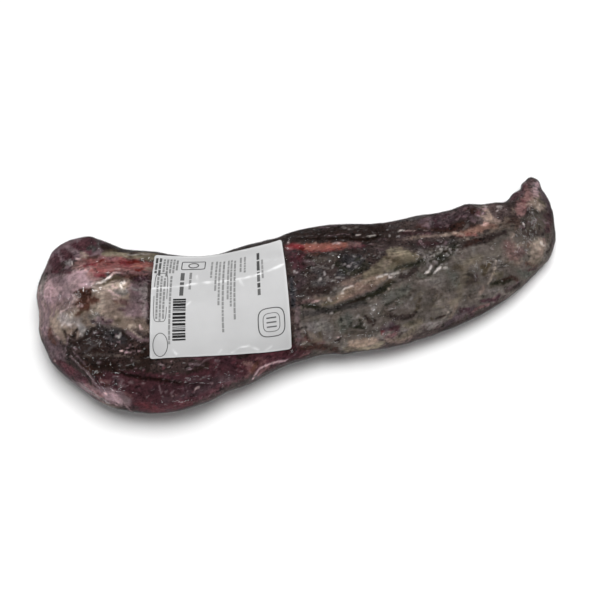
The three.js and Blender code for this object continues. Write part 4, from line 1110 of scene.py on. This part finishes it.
# Where the film stands in a fold: how high, and the pixels that the fold runs through, with its half width.
FOLDS = {
    "line of the film at the head": (0.5, [(69, 335, 0.7), (66, 348, 0.7), (66, 358, 0.6)]),
    "seam round the head": (0.6, [(71, 357, 0.7), (83, 369, 0.9), (92, 379, 1), (99, 388, 1),
        (112, 396, 0.9), (124, 404, 0.9), (132, 412, 0.8)]),
    "fold in the notch": (0.6, [(253, 380, 0.7), (259, 370, 0.9), (272, 364, 0.8), (287, 360, 0.6)]),
    "glossy bend of the head": (0.35, [(97, 283, 0.8), (108, 275, 1), (121, 272, 0.8)]),
    "pleat along the side muscle": (0.5, [(398, 231, 0.6), (416, 231, 0.7), (433, 230, 0.5)]),
    "pleat over the fat": (0.2, [(330, 290, 0.6), (352, 278, 0.7), (378, 268, 0.6)]),
    "pleat down the tail": (0.5, [(497, 257, 0.5), (494, 273, 0.8), (486, 288, 0.6)]),
}

film_mesh = meat_mesh.copy()
film_mesh.name = "film"
film_mesh.color_attributes.remove(film_mesh.color_attributes["colour"])
film_mesh.attributes.remove(film_mesh.attributes["wet"])
film_shape = bmesh.new()
film_shape.from_mesh(film_mesh)
relax(film_shape, film_shape.verts, 2)
film_shape.to_mesh(film_mesh)
film_shape.free()


def creased_along(size, seed):
    """Thin ridges, from 0 to 1, along the lines where noise of a size crosses nought."""
    return (1 - np.minimum(np.abs(waves(size, seed)) * 3, 1)) ** 2


film_points = vectors_of(film_mesh.vertices, "co")
film_normals = vectors_of(film_mesh.vertex_normals, "vector")
crumpled = np.max(list(zone_shares(CRUMPLED)), axis=0)
wrinkles = sum(rise * creased_along(size, seed) for rise, size, seed in CREASES) + layered([RIPPLE])
wrinkles *= CALM + (1 - CALM) * crumpled
for rise, fold in FOLDS.values():
    wrinkles += rise * (1 - smooth_step(stroke_gap(base_places, run_through(fold)), -0.3, 1.2))
clear = np.einsum("ij,ij->i", film_points - meat_points, film_normals)
lift = np.maximum(clear + FILM_GAP * MM, LEAST_GAP * MM) - clear + wrinkles * MM * raised
film_points += film_normals * lift[:, None]
film_points[:, 2] = np.maximum(film_points[:, 2], FILM_OVER_TABLE)
move_points(film_mesh, film_points)
keep(film_mesh, "crumpled", crumpled)
film = new_piece("film", film_mesh)

plastic = Shader("clear shrink film")
crumple = plastic.spread(plastic.kept("crumpled"), 0.05, 0.8, 0, 1)
crooked = plastic.add("TexNoise", {"Vector": plastic.place(), "Scale": 300}).outputs["Color"]
crooked = plastic.vectors("ADD", plastic.place(), plastic.scaled(crooked, 2.5 * MM))
facets = plastic.add("TexVoronoi", {"Vector": crooked, "Scale": 380}).outputs["Color"]
facets = plastic.scaled(plastic.vectors("SUBTRACT", facets, (0.5, 0.5, 0.5)), crumple)
tilted = plastic.vectors("ADD", plastic.add("NewGeometry").outputs["Normal"], facets)
tilted = plastic.vectors("NORMALIZE", tilted)
rumpled = plastic.add("Bump", {
    "Height": plastic.noise(240, 2), "Distance": 0.5 * MM, "Strength": 0.3, "Normal": tilted,
}).outputs["Normal"]
slant = plastic.add("LayerWeight", {"Blend": 0.5, "Normal": rumpled}).outputs["Facing"]
mirrored = plastic.spread(plastic.math("POWER", slant, 5), 0.04, 0.6, 0, 1)
clear_film = plastic.add("BsdfTransparent", {"Color": (0.98, 0.98, 0.98, 1)})
shine = plastic.add("BsdfGlossy", {"Color": (0.95, 0.96, 0.97, 1), "Roughness": 0.12, "Normal": rumpled})
both = {0: mirrored, 1: clear_film.outputs[0], 2: shine.outputs[0]}
dress(film, plastic.finish(plastic.add("MixShader", both)))
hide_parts("packed_tenderloin")
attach(film, "root")


# The label: coated white paper, stuck across the waist of the pack and bent with it. A crease runs across
# it, and its front edge lies in small folds.
LABEL_LONG, LABEL_WIDE = 112, 96
LABEL_CORNER = 2.2
LABEL_STEP = 1.1
LABEL_THICK = 0.18
LABEL_LIFT = 0.3 # clear of the film
# A painted highlight: the label's cut edge is made paler.
LABEL_EDGE_HIGHLIGHT = 0.24 # how much paler its cut edge is, on the scale of a crease
LABEL_PLACES = ( # back edge, middle line and front edge, each from the head end, in plan millimetres
    ((-116.8, 46.8), (-62.0, 35.4), (-11.5, 35.2)),
    ((-129.8, -3.6), (-75.9, -13.8), (-20.2, -18.7)),
    ((-140.5, -45.2), (-85.0, -56.0), (-29.0, -60.9)),
)
OVER_ALL = 0.2 # a height above every piece, in metres
BEND_SMOOTHINGS = 10
CREASE_HALF = 0.8
CREASE_BREAK = 7 # about how far on a crease fades and comes back
# Each crease: how far it stands up, and the line it runs along, in millimetres from the label's middle.
LABEL_CREASES = (
    (0.45, ((-55, 15), (-30, 18), (-18, 20), (10, 20), (30, 21), (55, 25))),
    (0.3, ((-18, 20), (-20, 27))),
    (0.3, ((16, 20), (19, 14))),
    (0.3, ((-38, -40), (-35, -45))),
    (0.3, ((-24, 3), (-27, 0))),
    (0.35, ((8, -46), (14, -42), (22, -41), (29, -45))),
    (0.25, ((-3, -47), (0, -43))),
    (0.25, ((35, -46), (40, -43))),
)


def through_three(values, share):
    """A smooth curve through three values, at share 0, one half and 1."""
    start, middle, end = (np.asarray(value, float) for value in values)
    rest = 1 - share
    return start * rest * (1 - 2 * share) + 4 * middle * share * rest - end * share * (1 - 2 * share)


def drop_on(surface, along, across):
    """Where a label point, in millimetres from its middle, lies on a surface, and the normal there."""
    line = [through_three(places, along / LABEL_LONG + 0.5) for places in LABEL_PLACES]
    x, y = through_three(line, 0.5 - across / LABEL_WIDE) * MM
    place, normal, _, _ = surface.ray_cast(Vector((x, y, OVER_ALL)), Vector((0, 0, -1)))
    return place, normal


def to_line(here, line):
    """Distance from a point to a line of points."""
    best = math.inf
    for start, end in zip(line, line[1:]):
        start, way = Vector(start), Vector(end) - Vector(start)
        share = min(max((here - start).dot(way) / way.length_squared, 0), 1)
        best = min(best, (here - start - way * share).length)
    return best


def round_corner(vert):
    """Draws a point near a corner of the label in, so that the corner is round."""
    inset = [abs(vert.co.x) - LABEL_LONG / 2 + LABEL_CORNER, abs(vert.co.y) - LABEL_WIDE / 2 + LABEL_CORNER]
    if min(inset) > 0:
        drawn_in = 1 - max(inset) / math.hypot(*inset)
        vert.co.x -= math.copysign(inset[0] * drawn_in, vert.co.x)
        vert.co.y -= math.copysign(inset[1] * drawn_in, vert.co.y)


def fold_at(here):
    """How far the label's creases stand up at a point, in millimetres."""
    width = CREASE_HALF * (1 + 0.5 * noise.noise(Vector((*here, 9)) / 4))
    fold = max(rise * math.exp(-(to_line(here, line) / width) ** 2) for rise, line in LABEL_CREASES)
    broken = 1.5 * noise.noise(Vector((*here, 0)) / CREASE_BREAK)
    return fold * min(max(0.7 + broken, 0.1), 1.3)


film_tree = BVHTree.FromPolygons(
    [Vector(point) for point in film_points], [tuple(face.vertices) for face in film_mesh.polygons]
)
label_shape = bmesh.new()
bmesh.ops.create_grid(
    label_shape, x_segments=round(LABEL_LONG / LABEL_STEP), y_segments=round(LABEL_WIDE / LABEL_STEP),
    size=0.5, matrix=Matrix.Diagonal((LABEL_LONG, LABEL_WIDE, 1, 1)),
)
flat = []
film_height = []
for vert in label_shape.verts:
    round_corner(vert)
    flat.append(vert.co.xy)
    vert.co = drop_on(film_tree, vert.co.x, vert.co.y)[0]
    film_height.append(vert.co.z)
relax(label_shape, label_shape.verts, BEND_SMOOTHINGS, sideways=False)
for vert, height in zip(label_shape.verts, film_height):
    vert.co.z = max(vert.co.z, height) + LABEL_LIFT * MM
relax(label_shape, label_shape.verts, 2, sideways=False)
label_shape.normal_update()
creased = []
backward = []
for vert, here in zip(label_shape.verts, flat):
    fold = fold_at(here)
    vert.co += vert.normal * fold * MM
    from_edge = min(LABEL_LONG / 2 - abs(here.x), LABEL_WIDE / 2 - abs(here.y))
    creased.append(max(fold, LABEL_EDGE_HIGHLIGHT * math.exp(-from_edge ** 2)))
    backward.append(here.y / LABEL_WIDE)
label_tree = BVHTree.FromBMesh(label_shape)
label_mesh = new_mesh("label_paper", label_shape)
keep(label_mesh, "creased", creased)
keep(label_mesh, "backward", backward)
label = new_piece("label_paper", label_mesh)
thickness = label.modifiers.new("thickness", "SOLIDIFY")
thickness.thickness = LABEL_THICK * MM
thickness.offset = 1

paper = Shader("coated paper")
# Paler along the creases and the cut edge: partly whitened paper, partly painted glints and edge highlight.
crease_white_and_glint = paper.spread(paper.kept("creased"), 0.98, 1.5, 0, 0.4)
glare = paper.spread(paper.kept("backward"), 0.9, 1.12, -0.5, 0.5)
patchy = paper.spread(paper.noise(18, 3), 0.93, 1.05)
tone = paper.math("MULTIPLY", crease_white_and_glint, paper.math("MULTIPLY", glare, patchy))
dress(label, paper.finish(paper.add("BsdfPrincipled", {
    "Base Color": paper.scaled(paper.add("CombineColor", {0: 0.535, 1: 0.535, 2: 0.538}).outputs[0], tone),
    "Roughness": 0.35,
    "Coat Weight": 0.5,
    "Coat Roughness": 0.15,
    "Normal": paper.bump(paper.noise(110, 2), 0.5 * MM, 0.5),
})))
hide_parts("label")
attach(label, "root")


# The print: no words, only bars where lines of small type would be, a row of stripes, and plain outlines,
# all in black ink and turned to be read from the head end. Sizes and places are in millimetres, the places
# from the label's middle.
INK_LIFT = LABEL_THICK + 0.06
INK_STEP = 1.5
ROUND_STEPS = 56
SMALL_TYPE = 1.3 # type no higher than this looks grey from a step away
TYPE_LINES = ( # along, from and to across, height of the type, and how dark it is
    (-53.6, 45, 31, 1.5, 1), (-50.6, 45, 31, 1.5, 0.9), (-47.4, 44, 33, 1, 0.85), (-44.8, 44, 31, 1, 0.85),
    (-42.2, 44, 33, 1, 0.85), (-39.6, 44, 31, 1, 0.75), (-37, 43, 33, 1, 0.75), (-51, 26, -11, 1, 0.8),
    (-48.3, 27, -12, 1, 0.75), (-45.6, 25, -11, 1, 0.75), (-40.5, 27, -34, 1, 0.75),
    (-31.6, 30, 14.5, 2.6, 0.85), (-25, 30, 18, 1.2, 0.75),
    (-8, 40, 25, 1, 0.65), (-4, 40, 17, 1, 0.7), (-1, 39, -2, 1, 0.65),
    (2.4, 39, -26, 1, 0.75), (6.4, 39, 6, 1, 0.65), (9, 39, -3, 1, 0.7), (12, 38, -11, 1, 0.75),
    (17, 40, 26, 1, 0.7), (20.6, 40, 25, 1, 0.7), (32.4, 41, 7, 2, 0.9), (36, 34, 20, 1, 0.65),
)
STRIPES_ALONG, STRIPES_FROM, STRIPES_TO = (-38, -27.5), 6, -32
STRIPE_WIDTHS = (0.8, 0.8, 1.6, 2.4)
STRIPE_GAPS = (0.5, 0.5, 0.9, 1.3)
OUTLINES = ( # along, across, length, width, fullness, thickness of the line, and how dark it is
    (-48.3, 7.5, 11, 44.5, 0.4, 0.6, 0.75), (-47.6, -35.5, 12.4, 22, 1, 0.7, 0.75),
    (-23.5, 37.2, 20, 8.6, 0.2, 0.8, 0.9), (-23.5, 37.2, 9, 5.6, 1, 1, 0.8),
    (41, -22, 22, 26, 0.6, 0.9, 0.85), (41, -22, 14, 17, 0.6, 0.7, 0.7),
)
FRAMED_BARS = ((41, -26), (41, -22), (41, -18))
draw = random.Random(12)
print_shape = bmesh.new()
ink = print_shape.verts.layers.float.new("ink")


def lay_down(verts, dark):
    for vert in verts:
        place, normal = drop_on(label_tree, vert.co.x, vert.co.y)
        vert.co = place + normal * INK_LIFT * MM
        vert[ink] = dark


def bar(along, across, long, wide, dark):
    """A filled bar round a middle point."""
    made = bmesh.ops.create_grid(
        print_shape, x_segments=max(1, round(long / INK_STEP)), y_segments=max(1, round(wide / INK_STEP)),
        size=0.5, matrix=Matrix.Translation((along, across, 0)) @ Matrix.Diagonal((long, wide, 1, 1)),
    )
    lay_down(made["verts"], dark)


def outline(along, across, long, wide, fullness, line, dark):
    """A line round an oval, or with a fullness under 1 round something nearer to a rectangle."""
    made = bmesh.ops.create_circle(print_shape, cap_ends=True, segments=ROUND_STEPS, radius=1)
    face = made["verts"][0].link_faces[0]
    for vert in made["verts"]:
        x, y = (math.copysign(abs(value) ** fullness, value) for value in vert.co.xy)
        vert.co = (along + x * long / 2, across + y * wide / 2, 0)
    ring = bmesh.ops.inset_individual(print_shape, faces=[face], thickness=line, use_even_offset=True)
    bmesh.ops.delete(print_shape, geom=[face], context="FACES")
    lay_down({vert for face in ring["faces"] for vert in face.verts}, dark)


for along, start, end, high, dark in TYPE_LINES:
    place = start
    while place > end:
        word = draw.uniform(1.6, 5.5) * min(high, 1.6)
        bolder, share = (1.7, 0.68) if high < SMALL_TYPE else (1.25, 1)
        bar(along, place - word / 2, bolder * high, word, share * dark * draw.uniform(0.8, 1))
        place -= word + 0.6 * high
place = STRIPES_FROM
while place > STRIPES_TO:
    stripe = draw.choice(STRIPE_WIDTHS)
    bar(sum(STRIPES_ALONG) / 2, place - stripe / 2, STRIPES_ALONG[1] - STRIPES_ALONG[0], stripe, 1)
    place -= stripe + draw.choice(STRIPE_GAPS)
for drawn in OUTLINES:
    outline(*drawn)
for along, across in FRAMED_BARS:
    bar(along, across, 8, 1.3, 0.8)
bmesh.ops.recalc_face_normals(print_shape, faces=print_shape.faces)
label_print = new_piece("label_print", new_mesh("label_print", print_shape))
inked = Shader("black ink")
shade = inked.spread(inked.kept("ink"), 0.42, 0.01, 0, 1)
shade = inked.math("MULTIPLY", shade, inked.spread(inked.noise(2200, 2), 0.85, 1.15))
dress(label_print, inked.finish(inked.add("BsdfPrincipled", {
    "Base Color": inked.add("CombineColor", {0: shade, 1: shade, 2: shade}).outputs[0],
    "Roughness": 0.4,
})))
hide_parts("label")
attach(label_print, "root")


# The room: a plain white floor under two soft lights from above, so that a soft shadow lies close along the
# pack's front edge. Small lights on all sides are seen only by the film, and give it its sparkle.
FLOOR = 1.5 # metres each way
LIGHT_AWAY = 2 # metres from the pack
SOFT_LIGHTS = (("key", KEY_FROM, KEY_SHARE, 1.4), ("fill", FILL_FROM, FILL_SHARE, 1)) # the last is the size
SPARKLES = ( # azimuth, elevation, size and brightness
    (-150, 52, 0.17, 28), (122, 27, 0.16, 5), (178, 30, 0.14, 8), (-62, 51, 0.16, 9),
    (-75, 44, 0.16, 6), (-100, 55, 0.2, 4), (100, 45, 0.3, 2.5), (110, 28, 0.3, 2.5),
    (-60, 35, 0.3, 4), (-120, 35, 0.3, 4), (0, 25, 0.3, 3),
)
floor_shape = bmesh.new()
bmesh.ops.create_grid(floor_shape, x_segments=1, y_segments=1, size=FLOOR / 2)
floor = new_piece("floor", new_mesh("floor", floor_shape))
floor.visible_glossy = False
white = Shader("white floor")
dress(floor, white.finish(white.add("BsdfDiffuse", {"Color": (0.97, 0.97, 0.97, 1)})))
floor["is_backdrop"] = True

room = Shader("room", bpy.data.worlds, "OutputWorld")
ray = room.add("LightPath").outputs
height = room.add("SeparateXYZ", {0: room.add("TexCoord").outputs["Generated"]}).outputs["Z"]
in_film = room.spread(height, 0.25, 0.07, 0.1, 0.5)
strength = room.spread(ray["Is Glossy Ray"], ROOM_SHARE, in_film, 0, 1)
strength = room.spread(ray["Is Camera Ray"], strength, 1, 0, 1)
bpy.context.scene.world = room.finish(room.add("Background", {"Color": (1, 1, 1, 1), "Strength": strength}))
bpy.context.scene.view_settings.view_transform = "Standard"


def soft_light(name, direction, size, watts, shows):
    """A square light that faces the pack. One that shows is only for the film to mirror, and the film never
    mirrors the others."""
    data = bpy.data.lights.new(name, "AREA")
    data.size = size
    data.energy = watts
    lamp = bpy.data.objects.new(name, data)
    lamp.location = TARGET + direction * LIGHT_AWAY
    lamp.rotation_euler = direction.to_track_quat("Z", "Y").to_euler()
    lamp.visible_glossy = shows
    lamp.visible_diffuse = not shows
    bpy.context.scene.collection.objects.link(lamp)


for name, direction, share, size in SOFT_LIGHTS:
    soft_light(name, direction, size, share * (math.pi * LIGHT_AWAY) ** 2 / direction.z, False)
for number, (azimuth, elevation, size, glow) in enumerate(SPARKLES):
    direction = from_direction(azimuth, elevation)
    soft_light(f"sparkle_{number}", direction, size, glow * math.pi * size ** 2, True)

({name: [list(corner) for corner in box] for name, box in
           (("cad", cad_box), ("visual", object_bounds()))})
